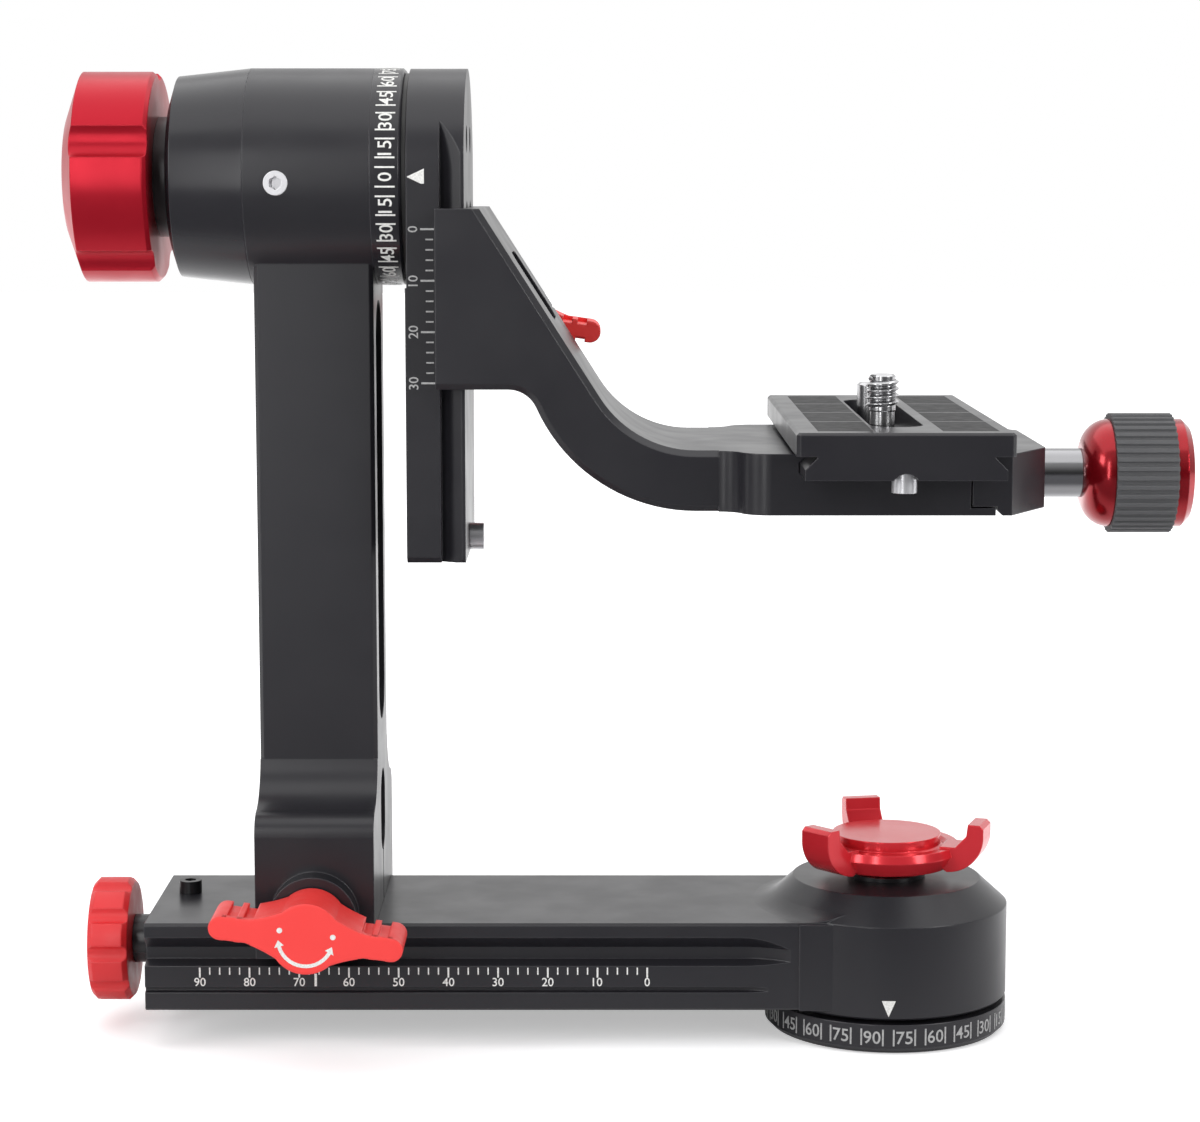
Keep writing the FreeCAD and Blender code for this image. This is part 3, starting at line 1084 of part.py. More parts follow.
def bracket_arm():
    arm = prism(bracket_outline(FLARE_START_X), "XZ", -BRACKET_HALF_W, BRACKET_HALF_W)
    heel = [e for e in arm.Edges if abs(e.tangentAt(e.FirstParameter).y) > 0.99
            and abs(e.CenterOfMass.z - BRACKET_CHANNEL_BOTTOM_Z) < 1e-6
            and e.CenterOfMass.x > BRACKET_LEFT_X + 1.0]
    arm = arm.makeFillet(HEEL_FILLET_R, heel)
    foot_x = slope_point(0.0)[0]
    return chamfer_edges(arm, BRACKET_CHAMFER,
                         lambda e: abs(abs(e.CenterOfMass.y) - BRACKET_HALF_W) < 1e-6
                         and foot_x < e.CenterOfMass.x and e.CenterOfMass.z > BRACKET_DECK_Z - 1e-6
                         and e.Length > BRACKET_CHAMFER)


def clamp_plan(side):
    """Half of the camera clamp's plan, with the hollow and the round of its flare."""
    turn = math.acos(1.0 - (CLAMP_HALF_L - BRACKET_HALF_W) / (FLARE_IN_R + FLARE_OUT_R))
    end_x = FLARE_START_X + (FLARE_IN_R + FLARE_OUT_R) * math.sin(turn)

    def hollow(angle):
        return (FLARE_START_X + FLARE_IN_R * math.sin(angle),
                side * (BRACKET_HALF_W + FLARE_IN_R * (1.0 - math.cos(angle))))

    def rounded(angle):
        return (end_x - FLARE_OUT_R * math.sin(angle),
                side * (CLAMP_HALF_L - FLARE_OUT_R * (1.0 - math.cos(angle))))

    return [(FLARE_START_X, side * BRACKET_HALF_W), hollow(turn / 2) + hollow(turn),
            rounded(turn / 2) + rounded(0.0), (CLAMP_LIP_RIGHT_X, side * CLAMP_HALF_L),
            (CLAMP_LIP_RIGHT_X, 0), (FLARE_START_X, 0)]


def clamp_base():
    front = prism(clamp_plan(-1), "XY", BRACKET_BOTTOM_Z, BRACKET_DECK_Z)
    back = prism(clamp_plan(1), "XY", BRACKET_BOTTOM_Z, BRACKET_DECK_Z)
    return front.fuse(back)


def flank_points(side, top):
    """The clamp's hold on one edge of the plate: from top down its neck and flank to its edge."""
    neck_x = PLATE_MID_X + side * (PLATE_NECK_HALF_W + SIDE_CLEAR)
    edge_x = PLATE_MID_X + side * (PLATE_FLANGE_HALF_W + SIDE_CLEAR)
    return [(neck_x, top), (neck_x, NECK_Z), (edge_x, FLANGE_KNEE_Z)], edge_x


def plate_bed():
    """What the camera plate, its dovetail and the moving jaw's tongue take out of the clamp."""
    top = max(NECK_Z, BRACKET_DECK_Z) + 1.0
    points, edge_x = flank_points(-1, top)
    far_x = JAW_RIGHT_X + 1.0
    points += [(edge_x, BED_Z), (CLAMP_BODY_RIGHT_X, BED_Z), (CLAMP_BODY_RIGHT_X, CLAMP_LIP_TOP_Z),
               (far_x, CLAMP_LIP_TOP_Z), (far_x, top)]
    return prism(points, "XZ", -CLAMP_HALF_L - 1.0, CLAMP_HALF_L + 1.0)


def slope_pocket():
    """The pocket sunk square into the sloped face."""
    top = slope_point(SLOPE_POCKET_START)
    pocket = Part.makeBox(SLOPE_POCKET_LENGTH, SLOPE_POCKET_Y[1] - SLOPE_POCKET_Y[0],
                          SLOPE_POCKET_DEPTH + 1.0, V(0, SLOPE_POCKET_Y[0], -SLOPE_POCKET_DEPTH))
    pocket = pocket.makeFillet(SLOPE_POCKET_ROUND,
                               [e for e in pocket.Edges if abs(e.tangentAt(e.FirstParameter).z) > 0.99])
    pocket.rotate(V(0, 0, 0), V(0, 1, 0), BRACKET_SLOPE_DEG)
    pocket.translate(V(top[0], 0, top[1]))
    return pocket


def lens_bracket():
    body = bracket_arm().fuse(clamp_base()).removeSplitter()
    body = body.cut(block((BRACKET_LEFT_X, CHANNEL_FACE_X), (-CHANNEL_HALF_W, BRACKET_HALF_W),
                          (BRACKET_CHANNEL_BOTTOM_Z, BRACKET_TOP_Z)))
    body = body.fuse(bracket_hook(-1))
    body = body.cut(block((BRACKET_LEFT_X, BRACKET_JAW_RIGHT_X + HOOK_CLEAR),
                          (JAW_Y - SLIDE_GAP, BRACKET_HALF_W), (BRACKET_BOTTOM_Z, BRACKET_TOP_Z)))
    body = body.cut(slope_pocket())
    body = body.cut(rod(WING_STUD_R + THREAD_GAP, JAW_Y - BRACKET_STUD_DEPTH - SLIDE_GAP, BRACKET_HALF_W,
                        "XZ", BRACKET_CLAMP_X, BRACKET_CLAMP_Z))
    body = body.cut(plate_bed())
    for side in (-1, 1):
        body = body.cut(rod(GUIDE_PIN_R, GUIDE_PIN_END_X, CLAMP_LIP_RIGHT_X, "YZ",
                            side * GUIDE_PIN_Y, CLAMP_SCREW_Z))
    return body.cut(rod(CLAMP_SCREW_R + THREAD_GAP, CLAMP_SCREW_END_X - SLIDE_GAP, CLAMP_LIP_RIGHT_X, "YZ",
                        0, CLAMP_SCREW_Z))


def bracket_hook(side):
    """The lip that runs in the dovetail on the swing plate's edge."""
    milled = prism(edge_dovetail(side, HOOK_CLEAR), "XY", BRACKET_CHANNEL_BOTTOM_Z, BRACKET_TOP_Z)
    wall = CHANNEL_HALF_W + HOOK_ROOT
    return milled.common(block((BRACKET_LEFT_X, SWING_FACE_X), (-wall, wall),
                               (BRACKET_CHANNEL_BOTTOM_Z, BRACKET_TOP_Z)))


def bracket_jaw():
    jaw = bracket_arm().common(block((BRACKET_LEFT_X, BRACKET_JAW_RIGHT_X), (JAW_Y, BRACKET_HALF_W),
                                     (BRACKET_BOTTOM_Z, BRACKET_TOP_Z)))
    jaw = jaw.fuse(bracket_hook(1))
    return jaw.cut(rod(WING_STUD_R + RUN_GAP, JAW_Y, BRACKET_HALF_W, "XZ", BRACKET_CLAMP_X, BRACKET_CLAMP_Z))


# ---------------------------------------------------------------- camera clamp
def clamp_jaw():
    top = max(NECK_Z, BRACKET_DECK_Z) + 1.0
    points, edge_x = flank_points(1, top)
    tongue_top = PLATE_BOTTOM_Z - 2 * SLIDE_GAP
    lip_x = CLAMP_LIP_RIGHT_X + FREE_GAP
    tongue_z = CLAMP_LIP_TOP_Z + FREE_GAP
    points += [(edge_x, tongue_top), (TONGUE_X, tongue_top), (TONGUE_X, tongue_z), (lip_x, tongue_z),
               (lip_x, BRACKET_BOTTOM_Z + JAW_CHAMFER), (lip_x + JAW_CHAMFER, BRACKET_BOTTOM_Z),
               (JAW_RIGHT_X, BRACKET_BOTTOM_Z), (JAW_RIGHT_X, top)]
    plan = [(TONGUE_X, -CLAMP_HALF_L), (JAW_CORNER_X, -CLAMP_HALF_L), (JAW_RIGHT_X, -JAW_FACE_HALF_L),
            (JAW_RIGHT_X, JAW_FACE_HALF_L), (JAW_CORNER_X, CLAMP_HALF_L), (TONGUE_X, CLAMP_HALF_L)]
    jaw = prism(points, "XZ", -CLAMP_HALF_L, CLAMP_HALF_L)
    jaw = jaw.common(prism(plan, "XY", BRACKET_BOTTOM_Z, BRACKET_DECK_Z))
    jaw = jaw.cut(rod(CLAMP_SCREW_R + RUN_GAP, TONGUE_X, JAW_RIGHT_X, "YZ", 0, CLAMP_SCREW_Z))
    for side in (-1, 1):
        jaw = jaw.cut(rod(GUIDE_PIN_R + RUN_GAP, TONGUE_X, GUIDE_PIN_TIP_X + FREE_GAP, "YZ",
                          side * GUIDE_PIN_Y, CLAMP_SCREW_Z))
    return jaw


def jaw_guide_pins():
    pins = []
    for side in (-1, 1):
        pins.append(rod(GUIDE_PIN_R, GUIDE_PIN_END_X, GUIDE_PIN_TIP_X, "YZ",
                        side * GUIDE_PIN_Y, CLAMP_SCREW_Z))
    return Part.makeCompound(pins)


def clamp_screw():
    return turned_x([(CLAMP_SCREW_END_X, 0), (CLAMP_SCREW_END_X, CLAMP_SCREW_R),
                     (JAW_RIGHT_X + SLIDE_GAP, CLAMP_SCREW_R), (JAW_RIGHT_X + SLIDE_GAP, CLAMP_SLEEVE_R),
                     (CLAMP_SLEEVE_END_X, CLAMP_SLEEVE_R), (CLAMP_SLEEVE_END_X, CLAMP_SCREW_R),
                     (CLAMP_KNOB_ROOT_X, CLAMP_SCREW_R), (CLAMP_KNOB_ROOT_X, 0)], 0, CLAMP_SCREW_Z)


def clamp_knob_body():
    dome_mid_x = CLAMP_SLEEVE_END_X + CLAMP_DOME_MID[0]
    body = turned_x([(CLAMP_SLEEVE_END_X, 0), (CLAMP_SLEEVE_END_X, CLAMP_DOME_ROOT_R),
                     (dome_mid_x, CLAMP_DOME_MID[1], CLAMP_DOME_END_X, CLAMP_DOME_R),
                     (CLAMP_DOME_END_X, GRIP_BORE_R), (GRIP_END_X, GRIP_BORE_R), (GRIP_END_X, CLAMP_CAP_R),
                     (CLAMP_CAP_END_X - CLAMP_CAP_CHAMFER, CLAMP_CAP_R),
                     (CLAMP_CAP_END_X, CLAMP_CAP_R - CLAMP_CAP_CHAMFER), (CLAMP_CAP_END_X, 0)],
                    0, CLAMP_SCREW_Z)
    return body.cut(rod(CLAMP_SCREW_R, CLAMP_SLEEVE_END_X, CLAMP_KNOB_ROOT_X, "YZ", 0, CLAMP_SCREW_Z))


def clamp_knob_grip():
    """Straight-ribbed ring, drawn as one closed tooth outline."""
    points = []
    pitch = 2 * math.pi / GRIP_RIBS
    for index in range(GRIP_RIBS):
        for share, radius in ((-0.34, GRIP_R - GRIP_RIB_DEPTH), (-0.2, GRIP_R), (0.2, GRIP_R),
                              (0.34, GRIP_R - GRIP_RIB_DEPTH)):
            angle = (index + share) * pitch
            points.append((radius * math.cos(angle), CLAMP_SCREW_Z + radius * math.sin(angle)))
    grip = prism(points, "YZ", CLAMP_DOME_END_X, GRIP_END_X)
    return grip.cut(rod(GRIP_BORE_R, CLAMP_DOME_END_X, GRIP_END_X, "YZ", 0, CLAMP_SCREW_Z))


# ---------------------------------------------------------------- camera plate
def dovetail_part():
    points = [(PLATE_FLANGE_HALF_W, PLATE_BOTTOM_Z), (PLATE_FLANGE_HALF_W, FLANGE_KNEE_Z),
              (PLATE_NECK_HALF_W, NECK_Z), (PLATE_NECK_HALF_W, PLATE_SLAB_Z)]
    points += [(-u, z) for u, z in reversed(points)]
    return prism([(PLATE_MID_X + u, z) for u, z in points], "XZ", -PLATE_HALF_L, PLATE_HALF_L)


def slab_part():
    slab = block((PLATE_MID_X - PLATE_SLAB_HALF_W, PLATE_MID_X + PLATE_SLAB_HALF_W),
                 (-PLATE_HALF_L, PLATE_HALF_L), (PLATE_SLAB_Z, PLATE_TOP_Z))
    slab = chamfer_edges(slab, PLATE_CORNER, lambda e: abs(e.tangentAt(e.FirstParameter).z) > 0.99)
    return chamfer_edges(slab, PLATE_EDGE, lambda e: abs(e.BoundBox.ZMin - PLATE_TOP_Z) < 1e-6)


def slot(half_w, half_l, bottom, top):
    """A round-ended slot along the plate."""
    middle = block((SLOT_MID_X - half_w, SLOT_MID_X + half_w), (-half_l + half_w, half_l - half_w),
                   (bottom, top))
    for y in (-half_l + half_w, half_l - half_w):
        middle = middle.fuse(rod(half_w, bottom, top, "XY", SLOT_MID_X, y))
    return middle


def pad_places():
    length = 2 * (PLATE_HALF_L - PAD_END_MARGIN)
    pitch = (length + PAD_ROW_GAP) / PAD_ROWS
    places = []
    for left, right in PAD_COLUMNS:
        for row in range(PAD_ROWS):
            start = -PLATE_HALF_L + PAD_END_MARGIN + row * pitch
            places.append(((PLATE_MID_X + left, PLATE_MID_X + right), (start, start + pitch - PAD_ROW_GAP)))
    return places


def pad(x, y):
    return block(x, y, (PLATE_TOP_Z - PAD_T, PLATE_TOP_Z))


def stop_screw_seat(side):
    """The hole, counterbore and arched notch under the plate's end, round one stop screw."""
    y = side * PLATE_STOP_Y
    end = side * (PLATE_HALF_L + 1.0)
    bore_r = PLATE_STOP_HEAD_R + FREE_GAP
    hole = rod(STOP_SCREW_R, PLATE_STOP_SEAT_Z, PLATE_STOP_SEAT_Z + PLATE_STOP_SHANK_L, "XY", PLATE_MID_X, y)
    counterbore = rod(bore_r, PLATE_BOTTOM_Z, PLATE_STOP_SEAT_Z, "XY", PLATE_MID_X, y)
    arch = rod(PLATE_NOTCH_R, min(y, end), max(y, end), "XZ", PLATE_MID_X, PLATE_BOTTOM_Z - PLATE_NOTCH_DROP)
    return hole.fuse(counterbore).fuse(arch)


def quick_plate():
    plate = dovetail_part().fuse(slab_part())
    plate = plate.cut(slot(SLOT_HALF_W, SLOT_HALF_L, PLATE_BOTTOM_Z, PLATE_TOP_Z))
    plate = plate.cut(slot(SLOT_RECESS_HALF_W, SLOT_RECESS_HALF_L, PLATE_BOTTOM_Z, RECESS_TOP_Z))
    for x, y in pad_places():
        plate = plate.cut(pad(x, y))
    for side in (-1, 1):
        plate = plate.cut(stop_screw_seat(side))
    return plate


def plate_stop_screws():
    screws = []
    for side in (-1, 1):
        screws.append(cap_screw(PLATE_STOP_HEAD_R, PLATE_STOP_HEAD_H, STOP_SCREW_R, PLATE_STOP_SHANK_L,
                                PLATE_STOP_SEAT_Z, -1, "XY", PLATE_MID_X, side * PLATE_STOP_Y))
    return Part.makeCompound(screws)


def plate_pads():
    return Part.makeCompound([pad(x, y) for x, y in pad_places()])


def camera_screw():
    head_top = RECESS_TOP_Z - CAMERA_WASHER_T - 2 * SLIDE_GAP
    screw = turned_z([(0, head_top - CAMERA_SCREW_HEAD_H),
                      (CAMERA_SCREW_HEAD_R, head_top - CAMERA_SCREW_HEAD_H),
                      (CAMERA_SCREW_HEAD_R, head_top), (CAMERA_SCREW_NECK_R, head_top),
                      (CAMERA_SCREW_NECK_R, CAMERA_SCREW_NECK_Z), (CAMERA_SCREW_R, CAMERA_SCREW_NECK_Z),
                      (CAMERA_SCREW_R, CAMERA_SCREW_TOP_Z - EDGE_CHAMFER),
                      (CAMERA_SCREW_R - EDGE_CHAMFER, CAMERA_SCREW_TOP_Z), (0, CAMERA_SCREW_TOP_Z)],
                     CAMERA_SCREW_X, CAMERA_SCREW_Y)
    socket = hex_socket(CAMERA_SCREW_HEAD_R, HEX_SINK, head_top - CAMERA_SCREW_HEAD_H, "XY",
                        CAMERA_SCREW_X, CAMERA_SCREW_Y)
    return screw.cut(socket)


def camera_screw_washer():
    top = RECESS_TOP_Z - SLIDE_GAP
    return ring(CAMERA_WASHER_R, CAMERA_SCREW_NECK_R + RUN_GAP, top - CAMERA_WASHER_T, top, "XY",
                CAMERA_SCREW_X, CAMERA_SCREW_Y)


def anti_twist_pin():
    flange_bottom = RECESS_TOP_Z - TWIST_PIN_FLANGE_H
    edge = EDGE_CHAMFER
    return turned_z([(0, flange_bottom), (TWIST_PIN_FLANGE_R, flange_bottom),
                     (TWIST_PIN_FLANGE_R, RECESS_TOP_Z),
                     (TWIST_PIN_R, RECESS_TOP_Z), (TWIST_PIN_R, TWIST_PIN_TOP_Z - edge),
                     (TWIST_PIN_R - edge, TWIST_PIN_TOP_Z), (0, TWIST_PIN_TOP_Z)], TWIST_PIN_X, TWIST_PIN_Y)


# ---------------------------------------------------------------- write the pieces
def spindle_screws():
    return Part.makeCompound([spindle_screw(x, y) for x, y in spindle_screw_places()])


PIECES = {
    "base_disc": base_disc,
    "tripod_bush": tripod_bush,
    "pan_spindle": pan_spindle,
    "spindle_screws": spindle_screws,
    "spindle_circlip": spindle_circlip,
    "rail_body": rail_body,
    "pan_bearing_lower": lambda: pan_bearing(PAN_FLANGE_TOP_Z),
    "pan_bearing_upper": lambda: pan_bearing(UPPER_BEARING_Z),
    "pan_bearing_spacer": pan_bearing_spacer,
    "pan_retainer_ring": pan_retainer_ring,
    "rail_stop_screw": rail_stop_screw,
    "pan_knob_washer": pan_knob_washer,
    "drag_rod_bush": drag_rod_bush,
    "drag_shoe": drag_shoe,
    "pan_lock_knob": pan_lock_knob,
    "pan_lock_stud": pan_lock_stud,
    "pan_lock_pad": pan_lock_pad,
    "drag_knob": drag_knob,
    "drag_rod": drag_rod,
    "upright_arm": upright_arm,
    "foot_thread_insert": foot_thread_insert,
    "hub_end_cap": hub_end_cap,
    "hub_set_screw": hub_set_screw,
    "tilt_scale_ring": tilt_scale_ring,
    "tilt_bearing_outer": lambda: tilt_bearing(CAP_SPIGOT_END_X),
    "tilt_bearing_inner": lambda: tilt_bearing(RIGHT_BEARING_X),
    "tilt_bearing_spacer": tilt_bearing_spacer,
    "tilt_friction_ring": tilt_friction_ring,
    "rail_wing_knob": rail_wing_knob,
    "rail_wing_stud": rail_wing_stud,
    "rail_wing_washer": rail_wing_washer,
    "swing_arm": swing_arm,
    "tilt_spindle": tilt_spindle,
    "swing_head_screws": swing_head_screws,
    "swing_stop_screw": swing_stop_screw,
    "tilt_lock_knob": tilt_lock_knob,
    "tilt_knob_collar": tilt_knob_collar,
    "lens_bracket": lens_bracket,
    "jaw_guide_pins": jaw_guide_pins,
    "bracket_jaw": bracket_jaw,
    "bracket_wing_knob": bracket_wing_knob,
    "bracket_wing_stud": bracket_wing_stud,
    "clamp_jaw": clamp_jaw,
    "clamp_knob_body": clamp_knob_body,
    "clamp_knob_grip": clamp_knob_grip,
    "clamp_screw": clamp_screw,
    "quick_plate": quick_plate,
    "plate_pads": plate_pads,
    "plate_stop_screws": plate_stop_screws,
    "anti_twist_pin": anti_twist_pin,
    "camera_screw": camera_screw,
    "camera_screw_washer": camera_screw_washer,
}

os.makedirs("parts", exist_ok=True)
for node, make in PIECES.items():
    write(node, make())
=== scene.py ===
import json
import math

import bmesh
import bpy
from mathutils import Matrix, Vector

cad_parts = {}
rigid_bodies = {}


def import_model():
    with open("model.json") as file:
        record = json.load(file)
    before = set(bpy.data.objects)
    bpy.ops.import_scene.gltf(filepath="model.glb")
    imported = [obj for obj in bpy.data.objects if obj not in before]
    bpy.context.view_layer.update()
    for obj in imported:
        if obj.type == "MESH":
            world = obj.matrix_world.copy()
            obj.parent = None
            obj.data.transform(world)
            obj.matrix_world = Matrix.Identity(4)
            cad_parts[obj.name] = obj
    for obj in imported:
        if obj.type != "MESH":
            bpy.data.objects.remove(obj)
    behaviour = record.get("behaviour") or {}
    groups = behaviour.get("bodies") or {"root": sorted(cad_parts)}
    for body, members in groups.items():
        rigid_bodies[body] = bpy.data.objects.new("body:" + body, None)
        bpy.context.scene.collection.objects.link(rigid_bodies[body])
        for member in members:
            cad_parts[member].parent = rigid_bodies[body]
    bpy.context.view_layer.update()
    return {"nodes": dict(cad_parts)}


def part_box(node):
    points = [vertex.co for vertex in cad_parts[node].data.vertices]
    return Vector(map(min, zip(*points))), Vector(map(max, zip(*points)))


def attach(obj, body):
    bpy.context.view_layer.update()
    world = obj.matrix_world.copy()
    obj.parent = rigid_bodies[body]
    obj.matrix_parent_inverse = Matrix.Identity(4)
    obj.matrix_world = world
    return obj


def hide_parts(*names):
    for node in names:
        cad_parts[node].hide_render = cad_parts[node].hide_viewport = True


for leftover in list(bpy.data.objects):
    bpy.data.objects.remove(leftover)
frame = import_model()
nodes = frame["nodes"]


# ---- Table, backdrop and light
# A seamless white sweep with the soft shadow of the head on it. One broad soft box hangs
# overhead, one stands at each side, and a narrow strip stands in front.
scene = bpy.context.scene
scene.view_settings.view_transform = "Standard"

WHITE = (1.0, 1.0, 1.0, 1.0)
LOOK_UP = (0.05, 0.85)           # how far a direction points up, from nearly level to overhead
ROOM_LIGHT = (0.06, 0.6)         # the room's strength at those two
LOOK_BACK = (-0.1, 0.55)         # how far a direction points back, from a little forward

world = bpy.data.worlds.new("studio")
world.use_nodes = True
scene.world = world
sky = world.node_tree
sky.nodes.clear()


def brighter_towards(tree, value, start, end, low, high):
    """A value that goes smoothly from low to high between start and end."""
    reach = tree.nodes.new("ShaderNodeMapRange")
    reach.interpolation_type = "SMOOTHSTEP"
    reach.inputs["From Min"].default_value = start
    reach.inputs["From Max"].default_value = end
    reach.inputs["To Min"].default_value = low
    reach.inputs["To Max"].default_value = high
    tree.links.new(value, reach.inputs["Value"])
    return reach.outputs["Result"]


def joined(tree, operation, first, second):
    """Two values put together by one math step."""
    step = tree.nodes.new("ShaderNodeMath")
    step.operation = operation
    tree.links.new(first, step.inputs[0])
    tree.links.new(second, step.inputs[1])
    return step.outputs[0]


# The room is dim on the side of the viewer, lit from above and white behind the object.
towards = sky.nodes.new("ShaderNodeTexCoord")
axes = sky.nodes.new("ShaderNodeSeparateXYZ")
sky.links.new(towards.outputs["Generated"], axes.inputs[0])
from_above = brighter_towards(sky, axes.outputs["Z"], *LOOK_UP, *ROOM_LIGHT)
behind = brighter_towards(sky, axes.outputs["Y"], *LOOK_BACK, 0.0, 1.0)
room_light = sky.nodes.new("ShaderNodeBackground")
room_light.inputs["Color"].default_value = WHITE
sky.links.new(from_above, room_light.inputs["Strength"])
white_back = sky.nodes.new("ShaderNodeBackground")
white_back.inputs["Color"].default_value = WHITE
white_back.inputs["Strength"].default_value = 1.0
ray = sky.nodes.new("ShaderNodeLightPath")
mirrored = joined(sky, "MULTIPLY", ray.outputs["Is Glossy Ray"], behind)
direct = joined(sky, "MAXIMUM", ray.outputs["Is Camera Ray"], ray.outputs["Is Transmission Ray"])
sky_mix = sky.nodes.new("ShaderNodeMixShader")
sky_out = sky.nodes.new("ShaderNodeOutputWorld")
sky.links.new(joined(sky, "MAXIMUM", direct, mirrored), sky_mix.inputs[0])
sky.links.new(room_light.outputs[0], sky_mix.inputs[1])
sky.links.new(white_back.outputs[0], sky_mix.inputs[2])
sky.links.new(sky_mix.outputs[0], sky_out.inputs[0])

TABLE_HALF = 4.0
TABLE_DROP = 0.0002              # keeps the table clear of the disc's underside
TABLE_WHITE = (0.86, 0.86, 0.87, 1.0)
TABLE_DIM = (0.2, 0.2, 0.21, 1.0)
TABLE_FRONT = (-0.02, -0.12)     # y from which and to which the front half goes dim
TABLE_BACK = (-0.02, 0.1)        # and the back half bright, in mirrored light
TABLE_REACH = (0.2, 0.55)        # distance over which the table goes over to the white backdrop
TABLE_LIFT = (0.42, 1.0)         # how much of that white it shows, near and far
table_mesh = bpy.data.meshes.new("table")
table_mesh.from_pydata([(-TABLE_HALF, -TABLE_HALF, 0.0), (TABLE_HALF, -TABLE_HALF, 0.0),
                        (TABLE_HALF, TABLE_HALF, 0.0), (-TABLE_HALF, TABLE_HALF, 0.0)],
                       [], [(0, 1, 2, 3)])
table = bpy.data.objects.new("table", table_mesh)
table.location.z = -TABLE_DROP
scene.collection.objects.link(table)
table_paint = bpy.data.materials.new("white_sweep")
table_paint.use_nodes = True
tree = table_paint.node_tree
tree.nodes.clear()
out = tree.nodes.new("ShaderNodeOutputMaterial")
lit = tree.nodes.new("ShaderNodeBsdfDiffuse")
lit_white = tree.nodes.new("ShaderNodeMix")
lit_white.data_type = "RGBA"
lit_white.inputs["A"].default_value = TABLE_WHITE
lit_white.inputs["B"].default_value = TABLE_DIM
tree.links.new(lit_white.outputs["Result"], lit.inputs["Color"])
glow = tree.nodes.new("ShaderNodeEmission")
glow.inputs["Color"].default_value = WHITE
ray = tree.nodes.new("ShaderNodeLightPath")
from_middle = tree.nodes.new("ShaderNodeVectorMath")
from_middle.operation = "LENGTH"
spot = tree.nodes.new("ShaderNodeTexCoord")
tree.links.new(spot.outputs["Object"], from_middle.inputs[0])
# The table's front half mirrors dim, as the room in front of it does.
across = tree.nodes.new("ShaderNodeSeparateXYZ")
tree.links.new(spot.outputs["Object"], across.inputs[0])
in_front = brighter_towards(tree, across.outputs["Y"], *TABLE_FRONT, 0.0, 1.0)
mirrored_in_front = joined(tree, "MULTIPLY", ray.outputs["Is Glossy Ray"], in_front)
tree.links.new(mirrored_in_front, lit_white.inputs["Factor"])
at_back = brighter_towards(tree, across.outputs["Y"], *TABLE_BACK, 0.0, 1.0)
lift = brighter_towards(tree, from_middle.outputs["Value"], *TABLE_REACH, *TABLE_LIFT)
mirrored_at_back = joined(tree, "MULTIPLY", ray.outputs["Is Glossy Ray"], at_back)
seen = joined(tree, "MAXIMUM", ray.outputs["Is Camera Ray"], ray.outputs["Is Transmission Ray"])
shown = joined(tree, "MAXIMUM", seen, mirrored_at_back)
tree.links.new(joined(tree, "MULTIPLY", shown, lift), glow.inputs["Strength"])
both = tree.nodes.new("ShaderNodeAddShader")
tree.links.new(lit.outputs[0], both.inputs[0])
tree.links.new(glow.outputs[0], both.inputs[1])
tree.links.new(both.outputs[0], out.inputs["Surface"])
table_mesh.materials.append(table_paint)

SOFT_BOXES = (                   # name, place, aim, width and length, watts
    ("overhead", (-0.05, 0.05, 0.95), (-0.05, 0.0, 0.1), (1.6, 1.4), 7.0),
    ("left_box", (-0.85, -0.6, 0.45), (-0.06, 0.0, 0.1), (0.35, 0.7), 4.2),
    ("strip_box", (-0.33, -0.8, 0.28), (0.0, 0.0, 0.1), (0.1, 0.6), 1.3),
    ("right_box", (0.75, -0.65, 0.5), (-0.04, 0.0, 0.1), (0.3, 0.6), 4.5),
)
for name, place, aim, size, watts in SOFT_BOXES:
    lamp = bpy.data.lights.new(name, "AREA")
    lamp.shape = "RECTANGLE"
    lamp.size, lamp.size_y = size
    lamp.energy = watts
    box = bpy.data.objects.new(name, lamp)
    box.location = place
    box.rotation_euler = (Vector(aim) - Vector(place)).to_track_quat("-Z", "Y").to_euler()
    scene.collection.objects.link(box)

CAMERA_PLACE = (-0.0594, -0.5991, 0.1740)
CAMERA_DOWN_DEG = 7.36
CAMERA_LENS = 88.5
CAMERA_SENSOR = 36.0
camera_data = bpy.data.cameras.new("camera")
camera_data.sensor_width = CAMERA_SENSOR
camera_data.lens = CAMERA_LENS
camera = bpy.data.objects.new("camera", camera_data)
camera.location = CAMERA_PLACE
camera.rotation_euler = (math.radians(90.0 - CAMERA_DOWN_DEG), 0.0, 0.0)
scene.collection.objects.link(camera)
scene.camera = camera


# ---- Pan base
# A turned aluminium disc that stays on the tripod, black anodised after turning.
# Its rim carries the degree ring, engraved and filled with grey enamel.
MM = 0.001
EDGE_SAMPLES = 6
PLAIN_COSINE = 0.97              # of the angle between the rounded edge and the face itself
EDGE_COSINE = 0.6
NOISE_RANGE = (0.22, 0.78)       # nearly all of the noise lies in it
EVEN = (1.0, 1.0, 1.0)           # how a grain is drawn out: not at all, or to lines round z or x
LINES_ROUND_Z = (0.02, 0.02, 1.0)
LINES_ROUND_X = (1.0, 0.02, 0.02)
BLACK = (0.015, 0.0145, 0.018)
# Paler black for the edges: partly rubbed anodising, partly a painted highlight along them.
BLACK_EDGE_WEAR_AND_SHEEN = (0.07, 0.068, 0.076)


def box_mm(name):
    """The lowest and the highest corner of a CAD piece, in millimetres."""
    return [[value / MM for value in corner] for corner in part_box(name)]


def finish_of(name, colour, roughness, metal=0.0):
    """A new material, its node tree and its shader."""
    paint = bpy.data.materials.new(name)
    paint.use_nodes = True
    shader = paint.node_tree.nodes["Principled BSDF"]
    shader.inputs["Base Color"].default_value = (*colour, 1.0)
    shader.inputs["Roughness"].default_value = roughness
    shader.inputs["Metallic"].default_value = metal
    return paint, paint.node_tree, shader


